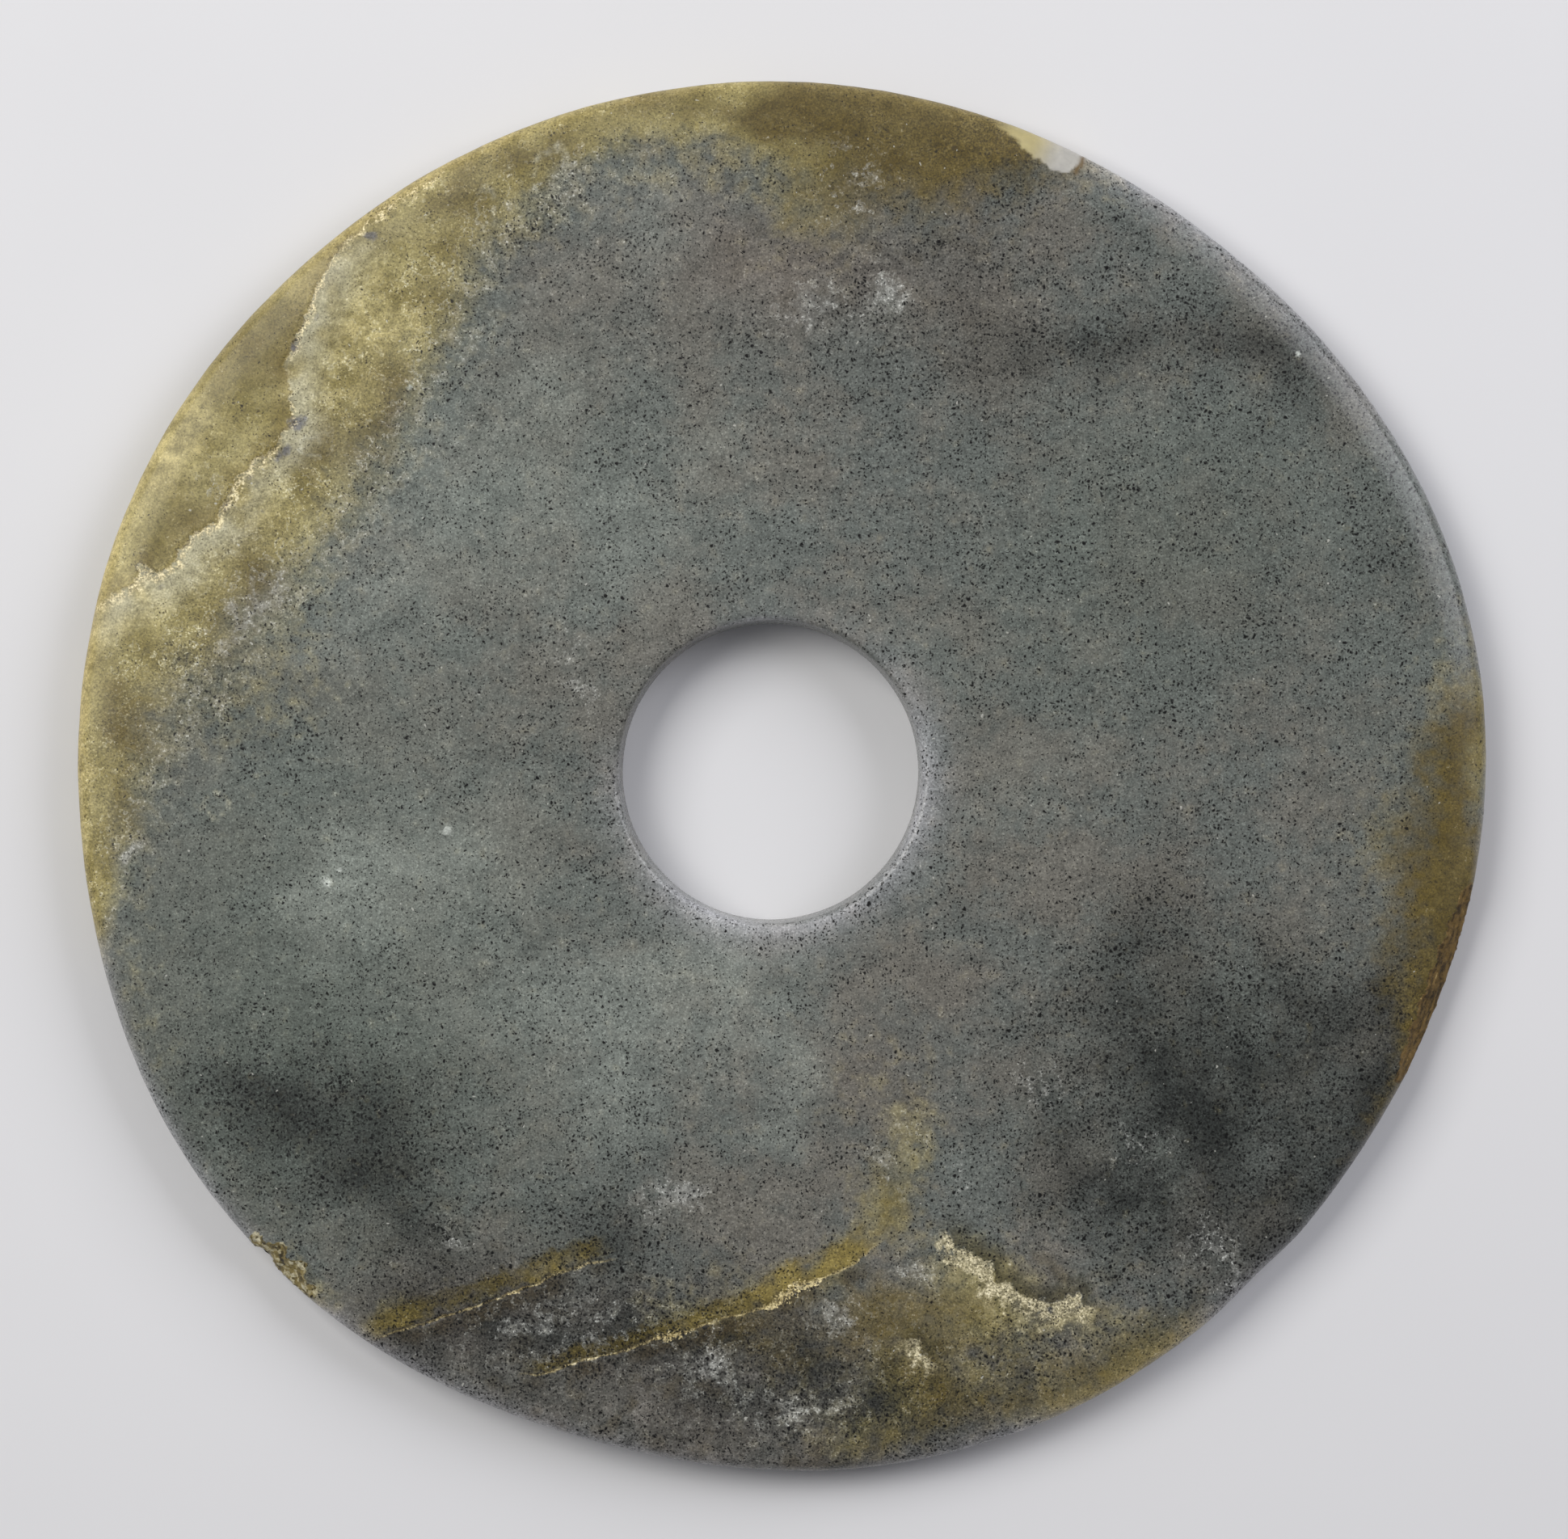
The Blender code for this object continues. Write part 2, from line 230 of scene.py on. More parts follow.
# Where the skin reaches beyond its edge, or falls short of it if the strength is below 0
OLIVE_SPOTS = (
    # left
    (-84, 22, 9, 12, 0, 0.2), (-104, 16, 7, 10, -10, -0.3), (-90, 10, 12, 7, 20, 0.15),
    (-116, -24, 3, 14, 0, 0.3), (-108, -40, 4, 12, 0, 0.2),
    # top
    (-44, 92, 8, 8, 0, 0.15), (-14, 101, 14, 6, 0, 0.1), (8, 97, 10, 11, 0, 0.38),
    (24, 109, 26, 8, -8, 0.5), (24, 98, 15, 8, 0, 0.2),
    # right
    (117, 6, 7, 16, 0, 0.72), (104, -12, 6, 12, 0, 0.26), (113, -21, 7, 17, 0, 0.9),
    (103, -29, 6, 11, 8, 0.34), (110, -41, 5, 12, -22, 0.9), (101, -58, 3, 9, -30, 0.3),
    # middle
    (14, -50, 12, 8, 30, 0.14), (18.5, -73, 4.5, 7, 20, 0.6), (21.5, -61, 4.5, 8, -8, 0.42),
    # bottom
    (-80, -87, 5, 2.5, -48, 0.45), (-67, -93, 8, 3, 15, 0.45), (-10, -92, 14, 7, 0, 0.4),
    (0, -98, 12, 6, 10, 0.18), (5, -108, 8, 6, 0, 0.2), (6, -84, 10, 3, 25, 0.4),
    (12, -81, 8, 4, 30, 0.15), (15, -91, 8, 5, 0, 0.5), (15, -112, 9, 4, 0, 0.3),
    (22, -100, 8, 7, -45, 0.5), (31, -84, 7, 7, 0, 0.45), (32, -92, 10, 6, 0, 0.4),
    (36, -105, 18, 6, 10, 0.42), (37, -88, 6, 5, 0, 0.2), (50, -93, 12, 4, 0, 0.35),
    (55, -103, 16, 6, 28, 0.33), (64, -98, 12, 5, 28, 0.33),
)
# Cream and brown places in the skin
CREAM_SPOTS = (
    # left
    (-72, 76, 9, 12, -25, 0.4), (-84, 67, 4, 5, 0, 0.4), (-78, 62, 5, 5, 0, 0.25),
    (-99, 56, 5, 12, -30, 0.3), (-104, 54, 6, 12, -28, 0.2), (-90, 47, 7, 5, 40, 0.35),
    (-84, 42, 6, 6, 0, 0.2), (-99, 38, 8, 5, 35, 0.3), (-108, 31, 8, 4, 25, 0.55),
    (-107, 20, 7, 8, 0, 0.12),
    # top
    (-79, 84, 4, 5, -30, 0.3),
    # middle
    (-66, 70, 5, 14, -25, 0.2),
    # bottom
    (33, -84, 5, 5, 0, 0.1), (46, -92, 10, 3, 0, 0.2),
)
BROWN_SPOTS = (
    # left
    (-83, 76, 5, 9, -35, 0.55), (-94, 75, 6, 12, -35, 0.4), (-92, 70, 6, 10, -30, 0.25),
    (-79, 56, 9, 5, 0, 0.7), (-70, 52, 5, 10, -30, 0.3), (-100, 46, 5, 6, 0, 0.4),
    (-104, 45, 5, 4, 0, 0.3), (-92, 40, 9, 5, 40, 0.4), (-107, 37, 3, 4, 0, 0.6),
    (-88, 34, 8, 4, 20, 0.4), (-92, 27, 6, 9, -20, 0.5), (-101, 14, 14, 9, 0, 0.2),
    (-113, 10, 3, 8, 0, 0.25), (-92, 8, 10, 5, 20, 0.2), (-106, 7, 6, 5, 0, 0.2),
    (-112, 4, 6, 16, 0, 0.4), (-110, -10, 6, 10, 0, 0.2), (-109, -24, 5, 10, 10, 0.1),
    # top
    (-76, 88, 6, 4, 45, 0.4), (-64, 94, 9, 4, 40, 0.2), (-60, 84, 6, 7, 0, 0.3),
    (-54, 99, 8, 5, 35, 0.6), (-49, 91, 8, 7, 30, 0.4), (-45, 106, 6, 2, 20, 0.3),
    (-39, 107, 6, 3, 20, 0.4), (-24, 112, 26, 4, 8, 0.35), (-22, 116, 7, 3, 10, 0.5),
    (-20, 103, 20, 3, 5, 0.15), (-3, 113, 8, 4, 0, 0.45), (9, 113, 12, 5, 0, 1),
    (9, 116, 12, 4, 0, 0.7), (20, 92, 20, 8, 0, 0.2), (20, 94, 24, 10, 0, 0.5),
    (22, 106, 26, 12, -8, 0.8), (30, 110, 12, 6, -10, 0.4), (30, 110, 16, 5, -10, 1.5),
    (36, 105, 8, 6, -20, 0.4), (36, 106, 12, 8, 0, 1.1),
    # right
    (115, 10, 8, 20, 0, 0.3), (114, 6, 3, 10, 0, 0.5), (112, -4, 8, 14, 0, 0.6),
    (113, -17, 5, 8, 0, 0.5), (110, -28, 11, 24, -8, 1.3), (114, -30, 3, 8, 0, 0.5),
    (103, -30, 7, 10, 0, 0.6), (108, -40, 4, 10, -20, 0.8), (105, -44, 8, 14, -20, 0.7),
    (113, -45, 5, 14, -20, 0.6), (100, -58, 6, 10, -30, 0.9),
    # middle
    (-66, 64, 6, 6, 0, 0.7), (-62, 78, 4, 8, -20, 0.15), (18, -72, 6, 12, 10, 0.5),
    # bottom
    (-66, -93, 12, 4, 15, 0.6), (-9, -95, 5, 3, 0, 0.8), (-4, -98, 12, 6, 10, 0.5),
    (4, -93, 18, 8, 15, 0.8), (22, -102, 8, 5, 0, 0.5), (24, -110, 26, 5, 12, 0.6),
    (28, -93, 16, 9, 0, 0.5), (48, -102, 14, 6, 20, 0.4), (64, -96, 12, 6, 25, 0.5),
)
# Clusters of small white crystals
CRYSTAL_SPOTS = (
    # left
    (-97, 50, 4, 3, 0, 0.4), (-90, 30, 5, 9, -30, 0.5), (-100, 18, 6, 6, 0, 0.3),
    (-110.6, -11.6, 2.5, 1.5, 50, 0.9),
    # top
    (-38, 104, 2.5, 3.5, 0, 0.6), (12.7, 98.6, 7, 6, 0, 0.6),
    # middle
    (-51.7, 12.3, 1.4, 1.4, 0, 0.9), (-33.2, 19.2, 3, 6, 20, 0.6), (-20, 60, 90, 70, 0, 0.12),
    (-18, -72, 8, 3, -10, 0.9), (-15.5, -72.6, 2, 1.5, 0, 1), (4.5, 79.5, 8, 3, 0, 0.7),
    (6.5, 71.2, 2, 2, 0, 0.6), (17.5, -67.1, 2, 5, 30, 0.8), (18.2, 81.5, 4, 6, 0, 0.9),
    (21.6, -60.3, 4, 4, 0, 0.5), (30.5, -65.8, 3, 4, 0, 0.6), (45.6, -50.7, 5, 6, 30, 0.6),
    (60, -62, 8, 6, 0, 0.4),
    # bottom
    (-56.5, -79.5, 4, 3, 0, 0.6), (-40, -94, 16, 6, 10, 0.45), (-12, -101.5, 5, 4, -30, 0.8),
    (0, -100, 70, 18, 0, 0.25), (1.7, -106.9, 7, 3, 10, 0.8), (10, -90, 6, 2, -15, 0.8),
    (23.5, -84.5, 3, 3, 0, 0.7), (73, -79.5, 6, 5, 0, 0.7), (76, -88, 4, 4, 0, 0.6),
)
# Ring-shaped veins of crystal: x, y, long radius, short radius, angle
LOOPS = (
    (-39.5, 102.5, 4.4, 2.4, 68), (-50.5, 96, 3.6, 1.6, 80), (-96, -5, 2.2, 2, 0),
    (-84, 30, 3, 1.8, 60), (-80, 56, 2, 1.6, 0), (-77, 44, 2.6, 1.4, 70),
)
# Where the stone is lumpier than elsewhere
MOTTLE_SPOTS = (
    (-10, -104, 70, 18, 0, 1.4), (20, 92, 30, 16, 0, 0.6), (40, -92, 24, 12, 0, 0.8),
    (75, -65, 36, 26, 0, 0.4), (-70, -66, 30, 18, -20, 0.4), (110, -30, 10, 30, 0, 0.6),
)
# Clear white grains: x, y, radius
WHITE_GRAINS = (
    (-56.8, -9.3, 1.1), (-77.3, -18.1, 1.1), (-75, -15.8, 0.6), (-68.5, -11, 0.5), (-63.3, 66, 0.7),
    (87.8, 71.8, 0.6), (-57.3, -12.8, 0.5), (-74, 62.5, 0.5),
)
# Stretches of the fissures whose edge is crumbled to cream
CRUMB_SPOTS = (
    (-111, 32, 9, 4, 25, 1.3), (-95, 46, 8, 3, 50, 0.9), (-88, 54, 4.5, 3, 40, 0.8),
    (-80, 80, 9, 3, 68, 0.6), (-67, 97.5, 8, 4, 35, 1.1), (-83.5, 62, 3, 3, 0, 0.35),
    (1.5, -88, 6, 3, 20, 1), (-19, -95, 3, 2, 0, 0.9), (-45, -88, 3, 2, 0, 0.4),
)
# Stretches of the lower fissures with golden instead of brown stain
GOLDEN_SPOTS = (
    (4, -84, 13, 5, 22, 1), (16, -79, 7, 6, 40, 0.9), (-16, -94, 6, 3, 15, 0.5),
    (-66, -94, 8, 3, 15, 0.5), (-38, -84, 8, 3, 15, 0.6),
)
# Pits along the left fissure, sunk into the relief and darkened blue-grey as painted shade
PITS = (
    (-82, 60, 2, 1.6, 30, 1), (-84.6, 54.9, 2.6, 1.3, 40, 1), (-90.5, 50.5, 1.5, 0.9, 50, 0.7),
    (-94.3, 45.6, 1.6, 0.8, 60, 0.8), (-105.2, 32.1, 1.7, 1.1, 20, 0.6),
    (-82.7, 73.3, 2.3, 0.9, 75, 0.8), (-79, 78, 1.7, 0.8, 50, 0.55),
    (-73.4, 89.6, 1.6, 0.9, 20, 0.45), (-69.8, 91.8, 1.9, 1.3, 0, 0.9), (-84.5, 66, 1, 2.4, 0, 0.4),
    (-88.5, 45, 0.9, 0.7, 0, 0.6),
)

# --- Fineness of the mesh

FACE_STEPS = (1.1, 0.66, 0.36)  # between points of the face: plain, near a fissure, at one
FINE_REACH = (4.0, 2.2)  # how far from a fissure the second and the third step are used
BACK_STEP = 2.4
RIM_STEP = 0.8
DAMAGE_STEP = 0.4
HOLE_COLUMNS = 220
RIM_ROWS = 28  # rows of points down the rim, and down the hole
HOLE_ROWS = 28


def smooth(share):
    """Goes from 0 to 1 with a level start and end."""
    share = np.clip(share, 0.0, 1.0)
    return share * share * (3.0 - 2.0 * share)


def bell(away, half_width):
    """1 where away is 0, falling smoothly to 0 on both sides."""
    return np.exp(-((away / half_width) ** 2))


def lumps(points, size, seed, octaves=1):
    """Smooth noise, about -1 to 1, with lumps of a size in mm, at rows of x, y and z."""
    spots = (points / size + np.array((31.7, -17.3, 7.9)) * seed).tolist()
    if octaves == 1:
        return np.array([noise.noise(spot) for spot in spots])
    return np.array([noise.fractal(spot, 1.0, 2.0, octaves) for spot in spots])


def facets(points, size, seed):
    """Noise from 0 to 1 that is made of flat-sided lumps, as broken crystal is."""
    spots = (points / size + seed * 13.7).tolist()
    return np.array([noise.voronoi(spot)[0][0] for spot in spots])


def joined(*groups):
    """Pairs of x and y arrays, put one after another."""
    return tuple(np.concatenate(parts) for parts in zip(*groups))


def oval_distance(x, y, middle_x, middle_y, long, short, angle):
    """Distance from the middle of an oval, 1 on its outline."""
    turn = math.radians(angle)
    away_x = x - middle_x
    away_y = y - middle_y
    along = (away_x * math.cos(turn) + away_y * math.sin(turn)) / long
    across = (away_y * math.cos(turn) - away_x * math.sin(turn)) / short
    return np.hypot(along, across)


def soft_spots(x, y, spots):
    """The sum of soft spots at each point."""
    return sum(strength * bell(oval_distance(x, y, *oval), 1.0) for *oval, strength in spots)


def loops(x, y, ovals):
    """1 on the outline of each oval, falling to 0 beside it."""
    return sum(bell(oval_distance(x, y, *oval) - 1.0, 0.28) for oval in ovals)


def beside_route(x, y, route):
    """Signed distance to a route, positive on its left, and the distance to its nearer end."""
    best = np.full_like(x, 1e9)
    side = np.ones_like(x)
    travelled = np.zeros_like(x)
    start = 0.0
    for (x0, y0), (x1, y1) in zip(route, route[1:]):
        length = math.hypot(x1 - x0, y1 - y0)
        along_x = (x1 - x0) / length
        along_y = (y1 - y0) / length
        along = np.clip((x - x0) * along_x + (y - y0) * along_y, 0.0, length)
        away = np.hypot(x - x0 - along * along_x, y - y0 - along * along_y)
        turn = along_x * (y - y0) - along_y * (x - x0)
        nearer = away < best
        best = np.where(nearer, away, best)
        side = np.where(nearer, np.where(turn >= 0, 1.0, -1.0), side)
        travelled = np.where(nearer, start + along, travelled)
        start += length
    return best * side, np.minimum(travelled, start - travelled)


# --- The disc's form


def turn_from(middle, bearing):
    """Degrees from one bearing to another, -180 to 180."""
    return (bearing - middle + 180.0) % 360.0 - 180.0


def rim_radius(bearing):
    """Distance from the hole's axis to the rim."""
    radius = RIM_RADIUS + RIM_SHIFT * np.cos(np.radians(bearing - RIM_SHIFT_BEARING))
    for middle, half_width, height in RIM_SWELLS:
        away = turn_from(middle, bearing)
        swell = height * np.cos(math.pi / 2 * away / half_width) ** 2
        radius = radius + np.where(np.abs(away) < half_width, swell, 0.0)
    return radius


def hole_axis():
    """Where the hole's axis is when the disc's outline is centred, as the CAD model does it."""
    bearing = np.arange(CAD_BEARINGS) * 360.0 / CAD_BEARINGS
    x = rim_radius(bearing) * np.cos(np.radians(bearing))
    y = rim_radius(bearing) * np.sin(np.radians(bearing))
    return -(x.min() + x.max()) / 2, -(y.min() + y.max()) / 2


AXIS_X, AXIS_Y = hole_axis()


def polar(x, y):
    """Bearing and distance from the hole's axis."""
    bearing = np.degrees(np.arctan2(y - AXIS_Y, x - AXIS_X)) % 360.0
    return bearing, np.hypot(x - AXIS_X, y - AXIS_Y)


def cartesian(bearing, radius):
    """The x and y at a bearing and a distance from the hole's axis."""
    angle = np.radians(bearing)
    return AXIS_X + radius * np.cos(angle), AXIS_Y + radius * np.sin(angle)


def face_height(bearing, radius):
    """Height of the better face, without relief or damage."""
    shoulder = rim_radius(bearing) - SHOULDER_WIDTH
    share = np.clip((radius - MOUTH) / (shoulder - MOUTH), 0.0, 1.0)
    fall = smooth((radius - shoulder) / SHOULDER_WIDTH)
    return THICKNESS - CROWN * share**2 - SHOULDER_DROP * fall


def damage_height(kind, bearing, radius):
    """Height of a broken surface, and UNBROKEN away from it."""
    first, last, width, depth, _roughness, _size = DAMAGE[kind]
    share = (bearing - first) / (last - first)
    inside = (share > 0.0) & (share < 1.0)
    along = DAMAGE_END_SHARE + (1.0 - 2.0 * DAMAGE_END_SHARE) * np.clip(share, 0.0, 1.0)
    swell = np.sin(math.pi * along) ** DAMAGE_FULLNESS
    lobes = 0.28 if kind == "chip" else 0.1
    ragged = 1.0 + lobes * np.sin(bearing * 2.7 - 0.4) + 0.05 * np.sin(bearing * 8.7 + 1.0)
    inset = width * swell * ragged
    rim = rim_radius(bearing)
    slope = depth * swell / inset
    height = face_height(bearing, rim - inset) - slope * (radius - rim + inset)
    return np.where(inside, height, UNBROKEN)


def break_roughness(kind, points):
    """How far a break's surface stands in or out at each point."""
    roughness, size = DAMAGE[kind][4:]
    if kind == "flake":
        return roughness * lumps(points, size, 3, 2)
    crystal = facets(points, size, 5) - 0.45
    return roughness * (crystal + 0.5 * lumps(points, size * 0.5, 6))


def groove(distance, half_width, depth):
    """A rounded trough along a route."""
    return -depth * bell(distance, half_width)


def fissure_relief(x, y, points):
    """Relief of the fissures and ledges on the better face."""
    relief = np.zeros_like(x)
    rough = lumps(points, 1.1, 11, 2)
    patchy = smooth(0.5 + 0.9 * lumps(points, 5.0, 12))

    away, to_end = beside_route(x, y, LEFT_FISSURE)
    away = -away + 0.5 * rough
    present = smooth(to_end / 4.0) * (0.3 + 0.7 * patchy)
    relief += present * groove(away, 0.3, 0.22)
    relief += present * np.where(away > 0, -0.07 * smooth(away) * np.exp(-away / 4.0), 0.0)
    relief += present * 0.1 * rough * bell(away - 0.7, 1.4)

    for route in (SHORT_FISSURE, LONG_FISSURE):
        away, to_end = beside_route(x, y, route)
        away = away + 0.3 * rough
        present = smooth(to_end / 5.0) * (0.3 + 0.7 * patchy)
        relief += present * (groove(away, 0.32, 0.16) + groove(away, 1.6, 0.1))
        relief += present * 0.08 * rough * bell(away, 1.0)

    for route, drop in ((LEDGE, 0.2), (LOW_LEDGE, 0.12)):
        away, to_end = beside_route(x, y, route)
        away = away + 0.5 * rough
        present = smooth(to_end / 3.0)
        below = np.where(away < 0, smooth(-away / 0.6) * np.exp(away / 5.0), 0.0)
        crumbs = 0.16 * rough * bell(away + 1.0, 1.6)
        relief += present * (crumbs - drop * below + groove(away, 0.3, 0.1))

    return relief - 0.16 * soft_spots(x, y, PITS)


def hand_ground(points):
    """The slow unevenness of a face that was ground by hand."""
    return 0.13 * lumps(points, 34.0, 1) + 0.05 * lumps(points, 12.0, 2)


def face_surface(x, y):
    """Height of the better face with its relief and damage, and how much each break shows."""
    bearing, radius = polar(x, y)
    whole = face_height(bearing, radius)
    points = np.column_stack((x, y, whole))
    height = whole + hand_ground(points) + fissure_relief(x, y, points)
    broken = {}
    for kind in DAMAGE:
        cut = damage_height(kind, bearing, radius)
        near = cut < UNBROKEN
        cut[near] += break_roughness(kind, points[near])
        broken[kind] = smooth((height - cut) / BREAK_BLEND)
        height = np.minimum(height, cut)
    return height, broken


# --- The stone's mesh


def hexagonal(step, inset):
    """Points between the hole's mouth and a line inset from the rim, a step apart."""
    reach = RIM_RADIUS + 6.0  # beyond the rim's furthest swell
    rows = np.arange(-reach, reach, step * math.sqrt(3) / 2)
    columns = np.arange(-reach, reach, step)
    x, y = np.meshgrid(columns, rows)
    x[1::2] += step / 2
    bearing, radius = polar(x, y)
    edge = rim_radius(bearing) - inset
    inside = (radius > MOUTH + 0.5 * step) & (radius < edge - 0.5 * step)
    return x[inside], y[inside]


def damage_distance(x, y):
    """Rough distance to the nearest damage of the rim."""
    bearing, radius = polar(x, y)
    rim = rim_radius(bearing)
    nearest = np.full_like(x, 1e9)
    for first, last, width, _depth, _roughness, _size in DAMAGE.values():
        around = np.maximum(np.maximum(first - bearing, bearing - last), 0.0)
        across = np.maximum(rim - radius - width, 0.0)
        nearest = np.minimum(nearest, np.hypot(np.radians(around) * rim, across))
    return nearest


def face_points():
    """Points inside the better face, closer together near fissures and damage."""
    chosen = []
    for level, step in enumerate(FACE_STEPS):
        x, y = hexagonal(step, RIM_ROUND)
        near = damage_distance(x, y)
        for route in ROUTES.values():
            near = np.minimum(near, np.abs(beside_route(x, y, route)[0]))
        wanted = (near < FINE_REACH[0]).astype(int) + (near < FINE_REACH[1])
        chosen.append((x[wanted == level], y[wanted == level]))
    return joined(*chosen)


def triangulated(outer, inner, fill):
    """Triangles over a ring between two loops of points, with more points inside it.

    Each argument is a pair of arrays, x and y. Corners count through outer, inner and fill.
    """
    x, y = joined(outer, inner, fill)
    edges = []
    start = 0
    for loop in (outer, inner):
        count = len(loop[0])
        edges += [(start + i, start + (i + 1) % count) for i in range(count)]
        start += count
    points = [Vector(point) for point in np.column_stack((x, y)).tolist()]
    made = geometry.delaunay_2d_cdt(points, edges, [], 1, 1e-7)
    source = np.array([origins[0] for origins in made[3]])
    triangles = source[np.array(made[2])]
    hole_first = len(outer[0])
    on_hole = (triangles >= hole_first) & (triangles < start)
    triangles = triangles[~on_hole.all(axis=1)]
    first, second, third = triangles.T
    area = (x[second] - x[first]) * (y[third] - y[first])
    area -= (x[third] - x[first]) * (y[second] - y[first])
    triangles[area < 0] = triangles[area < 0][:, ::-1]
    return triangles


def rim_columns():
    """Bearings round the rim, closer together at damage."""
    bearing = 0.0
    columns = []
    while bearing < 360.0:
        columns.append(bearing)
        close = any(first - 0.8 < bearing < last + 0.6 for first, last, *_ in DAMAGE.values())
        step = DAMAGE_STEP if close else RIM_STEP
        bearing += math.degrees(step / RIM_RADIUS)
    return np.array(columns)


def quarter(first_angle, steps):
    """Evenly spaced angles from first_angle to a right angle."""
    return np.linspace(first_angle, math.pi / 2, steps)


def rim_profile(bearing):
    """Radius and height down the rim at each bearing: one row for each step down."""
    rim = rim_radius(bearing)
    edge = rim - RIM_ROUND
    top = face_height(bearing, edge)
    start = math.radians(RIM_FIRST_SLOPE)
    bend = RIM_ROUND / (1.0 - math.sin(start))
    rows = []
    for angle in quarter(start, 14):
        along = bend * (math.sin(angle) - math.sin(start))
        rows.append((edge + along, top - bend * (math.cos(start) - math.cos(angle))))
    lowest = rows[-1][1]
    back = BACK_SHOULDER_DROP + RIM_ROUND
    for share in np.linspace(0.0, 1.0, 9)[1:]:
        rows.append((rim, lowest + (back - lowest) * share))
    for angle in quarter(0.0, 12)[1:]:
        along = RIM_ROUND * math.cos(angle)
        rows.append((edge + along, back - RIM_ROUND * math.sin(angle)))
    for share in np.linspace(0.0, 1.0, 6)[1:]:
        rows.append((edge - BACK_SHOULDER_WIDTH * share, BACK_SHOULDER_DROP * (1 - share)))
    radius = np.array([row[0] for row in rows])
    height = np.array([np.broadcast_to(row[1], edge.shape) for row in rows])
    return radius, height


def evened(radius, height, others, count):
    """The same profiles with count points each, evenly spaced, and their lengths so far."""
    steps = np.hypot(np.diff(radius, axis=0), np.diff(height, axis=0))
    travelled = np.vstack((np.zeros(radius.shape[1]), np.cumsum(steps, axis=0)))
    made = [np.empty((count, radius.shape[1])) for _ in range(3 + len(others))]
    for column in range(radius.shape[1]):
        wanted = np.linspace(0.0, travelled[-1, column], count)
        for result, values in zip(made, (radius, height, *others)):
            result[:, column] = np.interp(wanted, travelled[:, column], values[:, column])
        made[-1][:, column] = wanted
    return made


def rim_roughness(points, broken):
    """How far the rim's surface stands out at each point, whole or broken."""
    out = 0.10 * lumps(points, 9.0, 21) + 0.04 * lumps(points, 2.6, 22)
    for kind, shows in zip(DAMAGE, broken):
        shows = shows.ravel()
        active = shows > 0.01
        out[active] += shows[active] * break_roughness(kind, points[active])
    return out


def rim_points(bearing, first_height):
    """The rim from the face's edge to the flat underside.

    Gives x, y, z, how much each break shows, and the spread, which is the radius that a point
    has when the surface is laid out flat. Each has one row for each step down.
    """
    radius, height = rim_profile(bearing)
    everywhere = np.broadcast_to(bearing, radius.shape)
    broken = []
    for kind in DAMAGE:
        cut = damage_height(kind, everywhere, radius)
        broken.append(smooth((height - cut) / BREAK_BLEND))
        height = np.minimum(height, cut)
    radius, height, *broken, travelled = evened(radius, height, broken, RIM_ROWS)
    everywhere = np.broadcast_to(bearing, radius.shape)
    x, y = cartesian(everywhere, radius)
    points = np.column_stack((x.ravel(), y.ravel(), height.ravel()))
    share = np.linspace(0.0, 1.0, RIM_ROWS)[:, None]
    fade = np.minimum(smooth(share * 6.0), smooth((1.0 - share) * 4.0))
    out = fade * rim_roughness(points, broken).reshape(x.shape)
    forward_r = np.gradient(radius, axis=0)
    forward_z = np.gradient(height, axis=0)
    length = np.maximum(np.hypot(forward_r, forward_z), 1e-6)
    radius = radius - out * forward_z / length
    height = height + out * forward_r / length
    height = height + (first_height - height[0]) * (1.0 - smooth(share * 5.0))
    x, y = cartesian(everywhere, radius)
    z = np.maximum(height, 0.0)
    spread = rim_radius(bearing) - RIM_ROUND + travelled
    return {"x": x, "y": y, "z": z, "spread": spread, **dict(zip(DAMAGE, broken))}


def hole_points(bearing, first_height):
    """The hole from its upper mouth to its lower one, in rows as rim_points gives them."""
    rows = []
    for angle in quarter(0.0, 10):
        radius = MOUTH - HOLE_ROUND * math.sin(angle)
        rows.append((radius, THICKNESS - HOLE_ROUND * (1 - math.cos(angle))))
    for share in np.linspace(0.0, 1.0, 7)[1:]:
        radius = HOLE_MOUTH_RADIUS + (HOLE_WAIST_RADIUS - HOLE_MOUTH_RADIUS) * share
        rows.append((radius, THICKNESS - HOLE_ROUND - (THICKNESS / 2 - HOLE_ROUND) * share))
    rows += [(radius, THICKNESS - height) for radius, height in reversed(rows[:-1])]
    profile = np.array(rows)
    columns = np.ones(len(bearing))
    radius, height, travelled = evened(
        np.outer(profile[:, 0], columns), np.outer(profile[:, 1], columns), [], HOLE_ROWS
    )
    share = np.linspace(0.0, 1.0, HOLE_ROWS)[:, None]
    height = height + (first_height - height[0]) * (1.0 - smooth(share * 2.0))
    everywhere = np.broadcast_to(bearing, radius.shape)
    x, y = cartesian(everywhere, radius)
    points = np.column_stack((x.ravel(), y.ravel(), height.ravel() * 6.0))
    drilling = 0.05 * lumps(points, 7.0, 31).reshape(x.shape)
    radius = radius + drilling * smooth(share * 4.0) * smooth((1.0 - share) * 4.0)
    x, y = cartesian(everywhere, radius)
    return {"x": x, "y": y, "z": np.maximum(height, 0.0), "spread": MOUTH - travelled}


def strip_faces(numbers, outwards):
    """Four-cornered faces between rows of point numbers that go all the way round."""
    after = np.roll(numbers, -1, axis=1)
    corners = [numbers[:-1], numbers[1:], after[1:], after[:-1]]
    if not outwards:
        corners = corners[::-1]
    return np.stack(corners, axis=-1).reshape(-1, 4)


def add_points(known, new):
    """Adds points to the known ones, with 0 for what isn't given, and returns their numbers."""
    first = len(known["x"])
    count = new["x"].size
    for name, values in known.items():
        added = new[name].ravel() if name in new else np.zeros(count)
        known[name] = np.concatenate((values, added))
    return first + np.arange(count).reshape(new["x"].shape)


